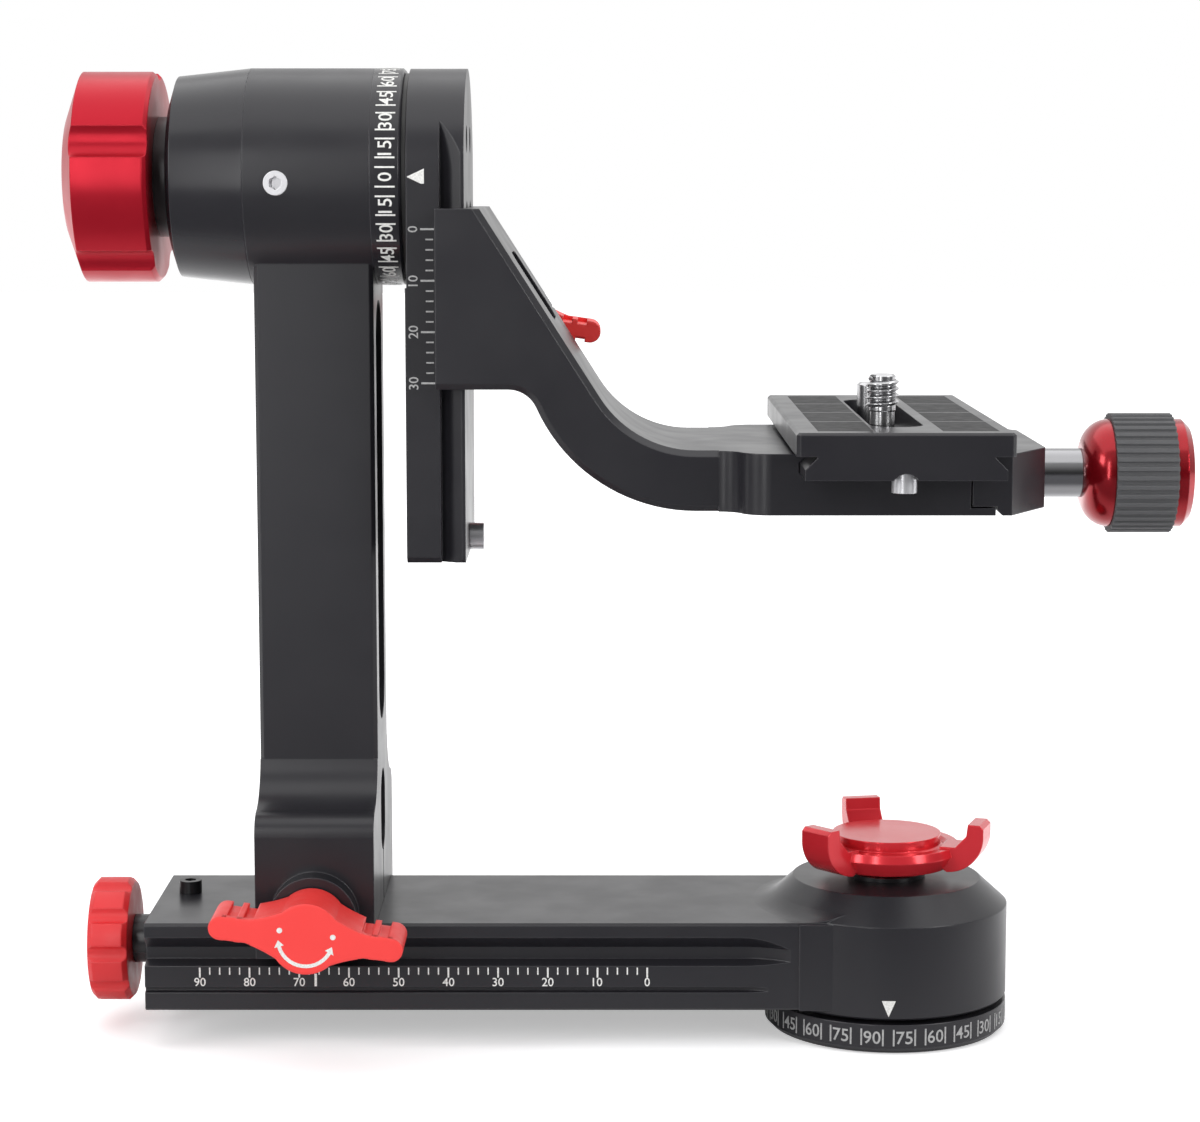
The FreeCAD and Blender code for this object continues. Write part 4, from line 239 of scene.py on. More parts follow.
def grain(tree, per_metre, stretch=EVEN, detail=3.0):
    """Noise fixed to the piece, with so many cells to the metre."""
    place = tree.nodes.new("ShaderNodeTexCoord")
    scale = tree.nodes.new("ShaderNodeMapping")
    scale.inputs["Scale"].default_value = stretch
    noise = tree.nodes.new("ShaderNodeTexNoise")
    noise.inputs["Scale"].default_value = per_metre
    noise.inputs["Detail"].default_value = detail
    tree.links.new(place.outputs["Object"], scale.inputs["Vector"])
    tree.links.new(scale.outputs["Vector"], noise.inputs["Vector"])
    return noise.outputs["Fac"]


def spread(tree, value, low, high):
    """Noise spread over a range of roughness or of brightness."""
    return brighter_towards(tree, value, *NOISE_RANGE, low, high)


def rounded_edges(tree, shader, grain_value, depth, radius):
    """Broken edges and a surface grain, in millimetres. Returns how near an edge is."""
    edge = tree.nodes.new("ShaderNodeBevel")
    edge.samples = EDGE_SAMPLES
    edge.inputs["Radius"].default_value = radius * MM
    bump = tree.nodes.new("ShaderNodeBump")
    bump.inputs["Strength"].default_value = 1.0
    bump.inputs["Distance"].default_value = depth * MM
    tree.links.new(grain_value, bump.inputs["Height"])
    tree.links.new(edge.outputs["Normal"], bump.inputs["Normal"])
    tree.links.new(bump.outputs["Normal"], shader.inputs["Normal"])
    flat = tree.nodes.new("ShaderNodeNewGeometry")
    dot = tree.nodes.new("ShaderNodeVectorMath")
    dot.operation = "DOT_PRODUCT"
    tree.links.new(edge.outputs["Normal"], dot.inputs[0])
    tree.links.new(flat.outputs["Normal"], dot.inputs[1])
    near = tree.nodes.new("ShaderNodeMapRange")
    near.inputs["From Min"].default_value = PLAIN_COSINE
    near.inputs["From Max"].default_value = EDGE_COSINE
    tree.links.new(dot.outputs["Value"], near.inputs["Value"])
    return near.outputs["Result"]


def tinted(tree, shader, factor, colour, second_colour):
    """The base colour, going to the second one where factor is high."""
    mix = tree.nodes.new("ShaderNodeMix")
    mix.data_type = "RGBA"
    mix.inputs["A"].default_value = (*colour, 1.0)
    mix.inputs["B"].default_value = (*second_colour, 1.0)
    tree.links.new(factor, mix.inputs["Factor"])
    tree.links.new(mix.outputs["Result"], shader.inputs["Base Color"])


def black_anodised(name, stretch=EVEN, cells=2400.0, depth=0.0025, rough=(0.28, 0.36)):
    """Black anodised aluminium: a satin grain, or turning lines where the grain is stretched."""
    paint, tree, shader = finish_of(name, BLACK, rough[0])
    near = rounded_edges(tree, shader, grain(tree, cells, stretch), depth, 0.35)
    # Paler at the edges: partly wear, partly a painted highlight.
    tinted(tree, shader, near, BLACK, BLACK_EDGE_WEAR_AND_SHEEN)
    tree.links.new(spread(tree, grain(tree, 90.0), *rough), shader.inputs["Roughness"])
    return paint


def wear(paint, *names):
    """Give these CAD pieces this finish."""
    for name in names:
        for index in range(len(nodes[name].data.materials)):
            nodes[name].data.materials[index] = paint


def turned_black(name, lines):
    """Black anodising over fine turning lines."""
    return black_anodised(name, lines, cells=4200.0, depth=0.002, rough=(0.2, 0.27))


def enamel(name, colour, thin, roughness):
    """Enamel in engraved marks, uneven where it lies thin."""
    paint, tree, shader = finish_of(name, colour, roughness)
    tinted(tree, shader, spread(tree, grain(tree, 3000.0), 0.0, 1.0), colour, thin)
    return paint


black_turned_z = turned_black("black_turned_z", LINES_ROUND_Z)
wear(black_turned_z, "base_disc")
grey_enamel = enamel("grey_enamel", (0.46, 0.46, 0.46), (0.3, 0.3, 0.3), 0.5)
white_enamel = enamel("white_enamel", (0.8, 0.8, 0.78), (0.6, 0.6, 0.58), 0.45)

INLAY_PROUD = 0.04
INLAY_SUNK = 0.1
NUMBER_DEPTH = 0.5
NUMBER_BOLDER = 0.006
NUMBER_CURVE_STEPS = 3


def add_piece(name, shape, paint, body):
    """A finished mesh becomes a piece with its finish, and rides on its body."""
    shape.normal_update()
    mesh = bpy.data.meshes.new(name)
    shape.to_mesh(mesh)
    shape.free()
    piece = bpy.data.objects.new(name, mesh)
    scene.collection.objects.link(piece)
    mesh.materials.append(paint)
    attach(piece, body)
    return piece


def tick(u, v, width, height):
    """A straight mark, its middle at u, from v upwards."""
    left, right = u - width / 2, u + width / 2
    return [(left, v), (right, v), (right, v + height), (left, v + height)]


def pointer(u, v, half_base, length, steps=6):
    """A triangle cut in narrow strips, its base middle at u, v and its point at v + length."""
    strips = []
    for index in range(steps):
        left = u - half_base + 2 * half_base * index / steps
        right = left + 2 * half_base / steps
        strip = [(left, v), (right, v), (right, v + length * (1 - abs(right - u) / half_base)),
                 (left, v + length * (1 - abs(left - u) / half_base))]
        strips.append([corner for k, corner in enumerate(strip) if corner not in strip[:k]])
    return strips


def number_solid(text):
    """A number in plain upright figures, one unit high and centred, as points and faces."""
    curve = bpy.data.curves.new("number", "FONT")
    curve.body = text
    curve.align_x = "CENTER"
    curve.extrude = NUMBER_DEPTH
    curve.offset = NUMBER_BOLDER
    curve.resolution_u = NUMBER_CURVE_STEPS
    holder = bpy.data.objects.new("number", curve)
    mesh = bpy.data.meshes.new_from_object(holder)
    low = min(point.co.y for point in mesh.vertices)
    high = max(point.co.y for point in mesh.vertices)
    left = min(point.co.x for point in mesh.vertices)
    right = max(point.co.x for point in mesh.vertices)
    scale = 1.0 / (high - low)
    points = [((point.co.x - (left + right) / 2) * scale, (point.co.y - low) * scale, point.co.z > 0.0)
              for point in mesh.vertices]
    faces = [tuple(face.vertices) for face in mesh.polygons]
    bpy.data.meshes.remove(mesh)
    bpy.data.objects.remove(holder)
    bpy.data.curves.remove(curve)
    return points, faces


def inlay(name, outlines, numbers, surface, body, paint=white_enamel):
    """Enamel in engraved marks, a hair proud of the surface. numbers are (text, u, v, height)."""
    shape = bmesh.new()
    for outline in outlines:
        low = [shape.verts.new(surface(u, v, -INLAY_SUNK)) for u, v in outline]
        high = [shape.verts.new(surface(u, v, INLAY_PROUD)) for u, v in outline]
        shape.faces.new(high)
        shape.faces.new(low[::-1])
        for index in range(len(outline)):
            after = (index + 1) % len(outline)
            shape.faces.new((low[index], low[after], high[after], high[index]))
    for text, u, v, height in numbers:
        points, faces = number_solid(text)
        verts = [shape.verts.new(surface(u + x * height, v + y * height,
                                         INLAY_PROUD if outer else -INLAY_SUNK))
                 for x, y, outer in points]
        for face in faces:
            shape.faces.new([verts[index] for index in face])
    return add_piece(name, shape, paint, body)


def on_drum_z(radius):
    """The wall of an upright drum on the pan axis: u runs round it from the front, v up it."""
    def surface(u, v, out):
        angle = u / radius
        reach = (radius + out) * MM
        return (reach * math.sin(angle), -reach * math.cos(angle), v * MM)
    return surface


RING_STEP_DEG = 15
RING_TICKS_DEG = (5, 10)         # the two ticks between one number and the next
RING_MARK_W = 0.34


def degree_ring(radius, shift_deg, zero_deg, mark_low, mark_h, number_low, number_h):
    """Ticks and numbers round a drum, which count from 0 to 90 and back again."""
    ticks = []
    numbers = []
    for turn in range(0, 360, RING_STEP_DEG):
        from_zero = abs((turn - zero_deg + 180) % 360 - 180)
        label = str(min(from_zero, 180 - from_zero))
        numbers.append((label, math.radians(turn + shift_deg) * radius, number_low, number_h))
        for extra in RING_TICKS_DEG:
            u = math.radians(turn + extra + shift_deg) * radius
            ticks.append(tick(u, mark_low, RING_MARK_W, mark_h))
    return ticks, numbers


BASE_R = box_mm("base_disc")[1][0]
BASE_RING_SHIFT_DEG = -11.2
BASE_RING_ZERO_DEG = 90
BASE_MARK_LOW = 1.7
BASE_MARK_H = 3.4
BASE_NUMBER_LOW = 2.1
BASE_NUMBER_H = 2.6
ring_ticks, ring_numbers = degree_ring(BASE_R, BASE_RING_SHIFT_DEG, BASE_RING_ZERO_DEG, BASE_MARK_LOW,
                                       BASE_MARK_H, BASE_NUMBER_LOW, BASE_NUMBER_H)
inlay("pan_degree_marks", ring_ticks, ring_numbers, on_drum_z(BASE_R), "base",
      grey_enamel)


# ---- Tripod socket and pan spindle
# A steel bush with the tripod's thread is pressed in the disc. The ground steel spindle
# stands on it, held by four countersunk screws, and a circlip keeps the head down on it.
def rubbed(colour, times, plus=0.0):
    """The paler colour of an edge: partly rubbed wear, partly a painted highlight."""
    return tuple(part * times + plus for part in colour)


def bare_metal(name, colour, rough, stretch):
    """Bare steel or brass, ground or turned: fine lines and a slight change of gloss."""
    paint, tree, shader = finish_of(name, colour, rough[0], 1.0)
    near = rounded_edges(tree, shader, grain(tree, 4200.0, stretch), 0.003, 0.2)
    # Paler at the edges: partly rubbed wear, partly a painted highlight.
    tinted(tree, shader, near, colour, rubbed(colour, 1.25))
    tree.links.new(spread(tree, grain(tree, 140.0), *rough), shader.inputs["Roughness"])
    return paint


def plated_steel(name, colour, second_colour, metal, cells):
    """Plated or blackened steel: an even skin, paler at its edges, partly from rubbing and partly as a
    painted highlight.
    """
    paint, tree, shader = finish_of(name, colour, 0.3, metal)
    near = rounded_edges(tree, shader, grain(tree, cells), 0.002, 0.2)
    tinted(tree, shader, near, colour, second_colour)
    tree.links.new(spread(tree, grain(tree, 300.0), 0.28, 0.4), shader.inputs["Roughness"])
    return paint


STEEL = (0.52, 0.52, 0.53)
steel_turned_z = bare_metal("steel_turned_z", STEEL, (0.2, 0.27), LINES_ROUND_Z)
steel_turned_x = bare_metal("steel_turned_x", STEEL, (0.2, 0.27), LINES_ROUND_X)
spring_steel = bare_metal("spring_steel", (0.2, 0.2, 0.21), (0.3, 0.42), EVEN)
black_oxide = plated_steel("black_oxide", (0.02, 0.02, 0.022), (0.12, 0.12, 0.125), 0.35, 6000.0)
wear(steel_turned_z, "tripod_bush", "pan_spindle")
wear(black_oxide, "spindle_screws")
wear(spring_steel, "spindle_circlip")


def lathe(shape, points, x, y, segments=64):
    """Turn a profile of (radius, z), in millimetres, about an upright axis at x, y."""
    rings = []
    for radius, z in points:
        if radius == 0.0:
            rings.append([shape.verts.new((x * MM, y * MM, z * MM))])
            continue
        turns = [2 * math.pi * k / segments for k in range(segments)]
        rings.append([shape.verts.new(((x + radius * math.cos(turn)) * MM,
                                       (y + radius * math.sin(turn)) * MM, z * MM)) for turn in turns])
    for first, second in zip(rings, rings[1:]):
        for k in range(segments):
            after = (k + 1) % segments
            corners = [first[k % len(first)], first[after % len(first)],
                       second[after % len(second)], second[k % len(second)]]
            loop = [corner for index, corner in enumerate(corners) if corner not in corners[:index]]
            shape.faces.new(loop)


ROOT_SHARE = 0.45                # half the ridge's width at its root, as a share of the pitch
CREST_SHARE = 0.08               # and at its crest
RUN_OUT_TURNS = 1 / 3
WELD_DISTANCE = 1e-8


def thread_ridge(shape, root, crest, pitch, bottom, top, x, y, steps=40):
    """One helical ridge from root radius to crest radius, which fades out at both ends."""
    turns = (top - bottom) / pitch - 1.0
    profile = ((root, -ROOT_SHARE), (crest, -CREST_SHARE), (crest, CREST_SHARE), (root, ROOT_SHARE))
    last = None
    count = int(turns * steps)
    run_out = RUN_OUT_TURNS * steps
    for index in range(count + 1):
        angle = 2 * math.pi * index / steps
        fade = min(1.0, index / run_out, (count - index) / run_out)
        section = []
        for radius, share in profile:
            reach = root + (radius - root) * fade
            section.append(shape.verts.new(((x + reach * math.cos(angle)) * MM,
                                            (y + reach * math.sin(angle)) * MM,
                                            (bottom + pitch / 2 + pitch * (index / steps + share)) * MM)))
        if last is None:
            shape.faces.new(section)
        else:
            for k in range(len(profile)):
                after = (k + 1) % len(profile)
                shape.faces.new((last[k], last[after], section[after], section[k]))
        last = section
    shape.faces.new(last[::-1])


def weld(shape):
    """Join the points that lie on each other, and turn every face outwards."""
    bmesh.ops.remove_doubles(shape, verts=shape.verts, dist=WELD_DISTANCE)
    bmesh.ops.recalc_face_normals(shape, faces=shape.faces)


INCH = 25.4
RIDGE_SINK = 0.1                 # how deep a ridge's root lies in the metal that carries it
BUSH_R, BUSH_H = box_mm("tripod_bush")[1][0], box_mm("tripod_bush")[1][2]
BUSH_MOUTH = 0.3
BUSH_ROOT_R = 4.76
BUSH_CREST_R = 4.1
BUSH_PITCH = INCH / 16
BUSH_THREAD_FROM = 0.2
BUSH_THREAD_TO = BUSH_H - 0.1
shape = bmesh.new()
lathe(shape, [(BUSH_ROOT_R, BUSH_MOUTH), (BUSH_ROOT_R + BUSH_MOUTH, 0.0), (BUSH_R, 0.0), (BUSH_R, BUSH_H),
              (BUSH_ROOT_R, BUSH_H), (BUSH_ROOT_R, BUSH_MOUTH)], 0.0, 0.0)
thread_ridge(shape, BUSH_ROOT_R + RIDGE_SINK, BUSH_CREST_R, BUSH_PITCH, BUSH_THREAD_FROM, BUSH_THREAD_TO,
             0.0, 0.0)
weld(shape)
threaded_bush = add_piece("tripod_bush_threaded", shape, steel_turned_z, "base")
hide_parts("tripod_bush")


# ---- Pan bearings
# Two ball bearings on the spindle carry the housing, with an aluminium spacer between
# them and a ring that holds them in from below.
GROUND_STEEL = (0.6, 0.6, 0.61)
bearing_steel = bare_metal("bearing_steel", GROUND_STEEL, (0.12, 0.24), LINES_ROUND_Z)
wear(bearing_steel, "pan_bearing_lower", "pan_bearing_upper")
wear(black_turned_z, "pan_bearing_spacer", "pan_retainer_ring")


# ---- Rail and pan housing
# Milled from one piece of aluminium, bead blasted and anodised black. Two grooves a side
# take the upright's foot, and a millimetre scale is engraved on the front face.
blasted_black = black_anodised("blasted_black")
wear(blasted_black, "rail_body")

RAIL_HALF_W = 21.2
SCALE_STEP = 2.0                 # millimetres between two ticks
TICKS_TO_LABEL = 5
RAIL_SCALE_START_X = -139.9
RAIL_SCALE_LABELS = 10
RAIL_LONG_TICK = (0.34, 2.05)    # width and length
RAIL_SHORT_TICK = (0.26, 1.45)
RAIL_TICK_TOP = 16.9
RAIL_NUMBER_LOW = 13.05
RAIL_NUMBER_H = 1.75
RAIL_STROKE_X = -116.6           # one bolder stroke in the row of numbers
RAIL_STROKE = (0.5, 2.6)


def on_front_face(y):
    """A flat face square to y on the object's front: u runs along x and v up it."""
    def surface(u, v, out):
        return (u * MM, (y - out) * MM, v * MM)
    return surface


scale_ticks = []
scale_numbers = []
for step in range(TICKS_TO_LABEL * (RAIL_SCALE_LABELS - 1) + 1):
    x = RAIL_SCALE_START_X + SCALE_STEP * step
    whole = step % TICKS_TO_LABEL == 0
    width, length = RAIL_LONG_TICK if whole else RAIL_SHORT_TICK
    scale_ticks.append(tick(x, RAIL_TICK_TOP - length, width, length))
    if whole:
        label = str(10 * (RAIL_SCALE_LABELS - 1 - step // TICKS_TO_LABEL))
        scale_numbers.append((label, x, RAIL_NUMBER_LOW, RAIL_NUMBER_H))
scale_ticks.append(tick(RAIL_STROKE_X, RAIL_NUMBER_LOW, *RAIL_STROKE))
inlay("rail_scale", scale_ticks, scale_numbers, on_front_face(-RAIL_HALF_W), "rail")

HOUSING_R = BASE_R               # the housing is as wide as the disc under it
PAN_INDEX_U = -1.6
PAN_INDEX_TOP = 11.0
PAN_INDEX_HALF_W = 1.4
PAN_INDEX_LENGTH = 3.3
pan_pointer = [strip[::-1] for strip in pointer(PAN_INDEX_U, PAN_INDEX_TOP, PAN_INDEX_HALF_W,
                                                -PAN_INDEX_LENGTH)]
inlay("pan_index", pan_pointer, [], on_drum_z(HOUSING_R), "rail")
wear(black_oxide, "rail_stop_screw", "pan_knob_washer")


# ---- Pan lock
# A cast three-armed knob, polished and anodised red, on a steel stud. A plastic pad
# under the stud grips the spindle's end without marking it.
def red_anodised(name, colour, rough, coat, metal, cells=3800.0, stretch=EVEN):
    """Clear red anodising on polished aluminium, a little paler at the edges: partly rubbed wear, partly a
    painted highlight.
    """
    paint, tree, shader = finish_of(name, colour, rough[0], metal)
    shader.inputs["Specular IOR Level"].default_value = 0.45
    shader.inputs["Coat Weight"].default_value = coat
    shader.inputs["Coat Roughness"].default_value = 0.12
    near = rounded_edges(tree, shader, grain(tree, cells, stretch), 0.002, 0.4)
    tinted(tree, shader, near, colour, rubbed(colour, 1.3, 0.03))
    tree.links.new(spread(tree, grain(tree, 120.0), *rough), shader.inputs["Roughness"])
    return paint


def plastic(name, colour, rough, depth):
    """Hard moulded plastic with a faint unevenness."""
    paint, tree, shader = finish_of(name, colour, rough[0])
    rounded_edges(tree, shader, grain(tree, 1500.0), depth, 0.2)
    tree.links.new(spread(tree, grain(tree, 200.0), *rough), shader.inputs["Roughness"])
    return paint


# The pan lock's red is painted paler than that of the other red anodised knobs, as a painted reflection of
# the white table in front of it.
red_with_painted_reflection = red_anodised("red_with_painted_reflection", (0.7, 0.028, 0.04), (0.2, 0.27), 0.3, 0.4)
wear(red_with_painted_reflection, "pan_lock_knob")
wear(steel_turned_z, "pan_lock_stud")
lock_nylon = plastic("lock_nylon", (0.62, 0.6, 0.52), (0.42, 0.6), 0.006)
wear(lock_nylon, "pan_lock_pad")


# ---- Pan drag
# The fluted red knob on the rail's end turns a steel rod that presses a brass shoe on
# the spindle. The rod runs in a black bush let into the rail.
def red_paint(name, colour, rough):
    """Smooth red powder coat with a faint orange peel."""
    paint, tree, shader = finish_of(name, colour, rough[0])
    near = rounded_edges(tree, shader, grain(tree, 1400.0), 0.006, 0.5)
    # Paler at the edges: partly rubbed wear, partly a painted highlight.
    tinted(tree, shader, near, colour, rubbed(colour, 1.1, 0.05))
    tree.links.new(spread(tree, grain(tree, 260.0), *rough), shader.inputs["Roughness"])
    return paint


red_coat = red_paint("red_coat", (0.66, 0.018, 0.022), (0.34, 0.48))
wear(red_coat, "drag_knob")
wear(steel_turned_x, "drag_rod")
black_turned_x = turned_black("black_turned_x", LINES_ROUND_X)
wear(black_turned_x, "drag_rod_bush")
brass = bare_metal("brass", (0.62, 0.42, 0.16), (0.28, 0.4), LINES_ROUND_X)
wear(brass, "drag_shoe")


# ---- Upright
# A milled arm with a round hub at the top and a slit foot that hooks in the rail's
# grooves. The hub holds the tilt bearings between a screwed cap and the degree ring.
wear(blasted_black, "upright_arm")
wear(spring_steel, "foot_thread_insert")
wear(black_turned_x, "hub_end_cap", "tilt_scale_ring", "tilt_bearing_spacer")
bright_zinc = plated_steel("bright_zinc", (0.68, 0.68, 0.7), (0.9, 0.9, 0.9), 0.7, 5000.0)
wear(bright_zinc, "hub_set_screw")
bearing_steel_x = bare_metal("bearing_steel_x", GROUND_STEEL, (0.12, 0.24), LINES_ROUND_X)
wear(bearing_steel_x, "tilt_bearing_outer", "tilt_bearing_inner")
black_acetal = plastic("black_acetal", (0.02, 0.02, 0.02), (0.38, 0.55), 0.005)
wear(black_acetal, "tilt_friction_ring")

(RING_LEFT, _, RING_BOTTOM), (RING_RIGHT, _, RING_TOP) = box_mm("tilt_scale_ring")
TILT_Z = (RING_BOTTOM + RING_TOP) / 2
TILT_RING_R = (RING_TOP - RING_BOTTOM) / 2
TILT_RING_MIDDLE_X = (RING_LEFT + RING_RIGHT) / 2
TILT_MARK_H = 3.9
TILT_NUMBER_H = 2.7


def on_drum_x(radius, middle_x, middle_z):
    """The wall of a drum along x: u runs up its front, and v towards the left."""
    def surface(u, v, out):
        angle = u / radius
        reach = radius + out
        return ((middle_x - v) * MM, -reach * math.cos(angle) * MM,
                (middle_z + reach * math.sin(angle)) * MM)
    return surface


tilt_ticks, tilt_numbers = degree_ring(TILT_RING_R, 0, 0, -TILT_MARK_H / 2, TILT_MARK_H,
                                       -TILT_NUMBER_H / 2, TILT_NUMBER_H)
inlay("tilt_degree_marks", tilt_ticks, tilt_numbers, on_drum_x(TILT_RING_R, TILT_RING_MIDDLE_X, TILT_Z),
      "upright")


# ---- Rail clamp
# A two-winged knob, cast and powder coated red, with a printed arrow for its turn. Its
# steel stud draws the slit foot together on the rail.
red_wing_coat = red_paint("red_wing_coat", (0.82, 0.04, 0.036), (0.4, 0.55))
wear(red_wing_coat, "rail_wing_knob")
wear(steel_turned_z, "rail_wing_stud")
wear(black_oxide, "rail_wing_washer")

ARROW_R = 5.3
ARROW_STEPS = 14
ARROW_HALF_W = 0.36
ARROW_FROM_DEG = 203.0
ARROW_TO_DEG = 337.0
ARROW_HEAD_DEG = 14.0
ARROW_HEAD_HALF_W = 0.95
DOT_R = 0.55
DOT_SIDES = 16
DOT_ANGLES_DEG = (12.0, 168.0)
WING_DISC_R = 6.95
WING_REACH = 18.9
WING_HALF_H = 2.3
WING_ROOT = (11.5, 2.3)          # where a wing's edge starts to widen towards the disc
WING_ROOT_MID = (8.2, 3.3)
WING_ROOT_DEG = 41.5
WING_LIP_T = 1.6
WING_LIP_PROUD = 0.03
WING_LIP_EDGE = ((0.0, -WING_LIP_T), (0.0, -0.25), (0.08, -0.05), (0.3, WING_LIP_PROUD))


def polar(radius, degrees):
    """A point round the knob's middle."""
    return (radius * math.cos(math.radians(degrees)), radius * math.sin(math.radians(degrees)))


def arc_through(start, middle, end, steps):
    """Points on the circle through three points, without the last one."""
    (ax, ay), (bx, by), (cx, cy) = start, middle, end
    twice = 2 * (ax * (by - cy) + bx * (cy - ay) + cx * (ay - by))
    a2, b2, c2 = ax * ax + ay * ay, bx * bx + by * by, cx * cx + cy * cy
    ux = (a2 * (by - cy) + b2 * (cy - ay) + c2 * (ay - by)) / twice
    uy = (a2 * (cx - bx) + b2 * (ax - cx) + c2 * (bx - ax)) / twice
    radius = math.hypot(ax - ux, ay - uy)
    first = math.atan2(ay - uy, ax - ux)
    sweep = math.atan2(cy - uy, cx - ux) - first
    turn_left = (bx - ax) * (cy - ay) - (by - ay) * (cx - ax) > 0
    if turn_left and sweep < 0:
        sweep += 2 * math.pi
    if not turn_left and sweep > 0:
        sweep -= 2 * math.pi
    angles = [first + sweep * k / steps for k in range(steps)]
    return [(ux + radius * math.cos(angle), uy + radius * math.sin(angle)) for angle in angles]


def wing_plate_outline():
    """The winged knob's outline, anticlockwise, from the root of its right wing over the top."""
    end_u = WING_REACH - WING_HALF_H
    disc = polar(WING_DISC_R, WING_ROOT_DEG)
    upper = arc_through((end_u, -WING_HALF_H), (WING_REACH, 0.0), (end_u, WING_HALF_H), 12)
    upper += [(end_u, WING_HALF_H)]
    upper += arc_through(WING_ROOT, WING_ROOT_MID, disc, 6)
    upper += arc_through(disc, (0.0, WING_DISC_R), (-disc[0], disc[1]), 18)
    upper += arc_through((-disc[0], disc[1]), (-WING_ROOT_MID[0], WING_ROOT_MID[1]),
                         (-WING_ROOT[0], WING_ROOT[1]), 6)
    upper += [(-WING_ROOT[0], WING_ROOT[1])]
    return upper + [(-u, -v) for u, v in upper]


def wing_lip(name, surface, body):
    """The flat end plate of the wings, which closes the finger grooves, with a rounded edge."""
    shape = bmesh.new()
    outline = wing_plate_outline()
    levels = []
    for shrink, out in WING_LIP_EDGE:
        ring = []
        for index, (u, v) in enumerate(outline):
            before, after = outline[index - 1], outline[(index + 1) % len(outline)]
            du, dv = after[0] - before[0], after[1] - before[1]
            length = math.hypot(du, dv)
            ring.append(shape.verts.new(surface(u - shrink * dv / length, v + shrink * du / length, out)))
        levels.append(ring)
    for first, second in zip(levels, levels[1:]):
        for k in range(len(outline)):
            after = (k + 1) % len(outline)
            shape.faces.new((first[k], first[after], second[after], second[k]))
    shape.faces.new(levels[-1])
    shape.faces.new(levels[0][::-1])
    return add_piece(name, shape, red_wing_coat, body)


def turn_marks():
    """A curved arrow with two heads, and the two dots beside it, as closed loops."""
    loops = []
    step = (ARROW_TO_DEG - ARROW_FROM_DEG) / ARROW_STEPS
    sweep = [ARROW_FROM_DEG + step * k for k in range(ARROW_STEPS + 1)]
    for start, end in zip(sweep, sweep[1:]):
        loops.append([polar(ARROW_R - ARROW_HALF_W, start), polar(ARROW_R + ARROW_HALF_W, start),
                      polar(ARROW_R + ARROW_HALF_W, end), polar(ARROW_R - ARROW_HALF_W, end)])
    for root, way in ((ARROW_FROM_DEG, -1), (ARROW_TO_DEG, 1)):
        head = [polar(ARROW_R - ARROW_HEAD_HALF_W, root), polar(ARROW_R + ARROW_HEAD_HALF_W, root),
                polar(ARROW_R, root + way * ARROW_HEAD_DEG)]
        loops.append(head if way > 0 else head[::-1])
    for angle in DOT_ANGLES_DEG:
        u, v = polar(ARROW_R, angle)
        rim = [polar(DOT_R, 360.0 * k / DOT_SIDES) for k in range(DOT_SIDES)]
        loops.append([(u + du, v + dv) for du, dv in rim])
    return loops


def on_knob_face(x, y, z, tilt_deg, side):
    """The flat end of a winged knob, turned about y by its tilt. side is -1 at the front."""
    turn = math.radians(tilt_deg)

    def surface(u, v, out):
        along = -side * u
        return ((x + along * math.cos(turn) - v * math.sin(turn)) * MM, (y + side * out) * MM,
                (z + along * math.sin(turn) + v * math.cos(turn)) * MM)
    return surface


def wing_end(x, y, z, tilt_deg, side):
    """The end of a winged knob and, a hair in front of it, the end of its lip."""
    return (on_knob_face(x, y, z, tilt_deg, side),
            on_knob_face(x, y + side * WING_LIP_PROUD, z, tilt_deg, side))


RAIL_WING_X = -116.15
RAIL_WING_Z = 28.9
RAIL_WING_TILT_DEG = -7.6
face, lip_face = wing_end(RAIL_WING_X, box_mm("rail_wing_knob")[0][1], RAIL_WING_Z, RAIL_WING_TILT_DEG, -1)
wing_lip("rail_wing_end_plate", face, "rail_wing")
inlay("rail_wing_arrow", turn_marks(), [], lip_face, "rail_wing")


# ---- Swing arm
# A round head and a long dovetail plate, milled in one and anodised black. It is bolted
# on the end of the steel tilt spindle, and a cap screw stops the bracket at the bottom.
wear(blasted_black, "swing_arm")
wear(steel_turned_x, "tilt_spindle")
wear(black_oxide, "swing_head_screws")
wear(bright_zinc, "swing_stop_screw")

SWING_FRONT_Y = box_mm("swing_arm")[0][1]
SWING_SCALE_TOP_Z = 164.5
SWING_SCALE_LABELS = 4
SWING_SCALE_X = -94.6            # between the ticks on its right and the numbers on its left
SWING_LONG_TICK = (-2.9, 0.38, 2.7)      # start, width and length
SWING_SHORT_TICK = (-2.7, 0.3, 1.5)
SWING_NUMBER_GAP = 0.35
SWING_NUMBER_H = 1.9


def on_upright_edge(x, y):
    """A flat edge face at the front: u runs up it in z, and v to the left from x."""
    def surface(u, v, out):
        return ((x - v) * MM, (y - out) * MM, u * MM)
    return surface


edge_ticks = []
edge_numbers = []
for step in range(TICKS_TO_LABEL * (SWING_SCALE_LABELS - 1) + 1):
    height = SWING_SCALE_TOP_Z - SCALE_STEP * step
    whole = step % TICKS_TO_LABEL == 0
    start, width, length = SWING_LONG_TICK if whole else SWING_SHORT_TICK
    edge_ticks.append(tick(height, start, width, length))
    if whole:
        edge_numbers.append((str(2 * step), height, SWING_NUMBER_GAP, SWING_NUMBER_H))
inlay("swing_height_scale", edge_ticks, edge_numbers, on_upright_edge(SWING_SCALE_X, SWING_FRONT_Y),
      "swing", grey_enamel)

SWING_HEAD_R = 21.5
TILT_INDEX_X = -95.1
TILT_INDEX_HALF_W = 1.6
TILT_INDEX_LENGTH = 3.4
TILT_INDEX_BACK = 1.5
tilt_pointer = pointer(0.0, -TILT_INDEX_BACK, TILT_INDEX_HALF_W, TILT_INDEX_LENGTH, 8)
inlay("tilt_index", tilt_pointer, [], on_drum_x(SWING_HEAD_R, TILT_INDEX_X, TILT_Z),
      "swing")


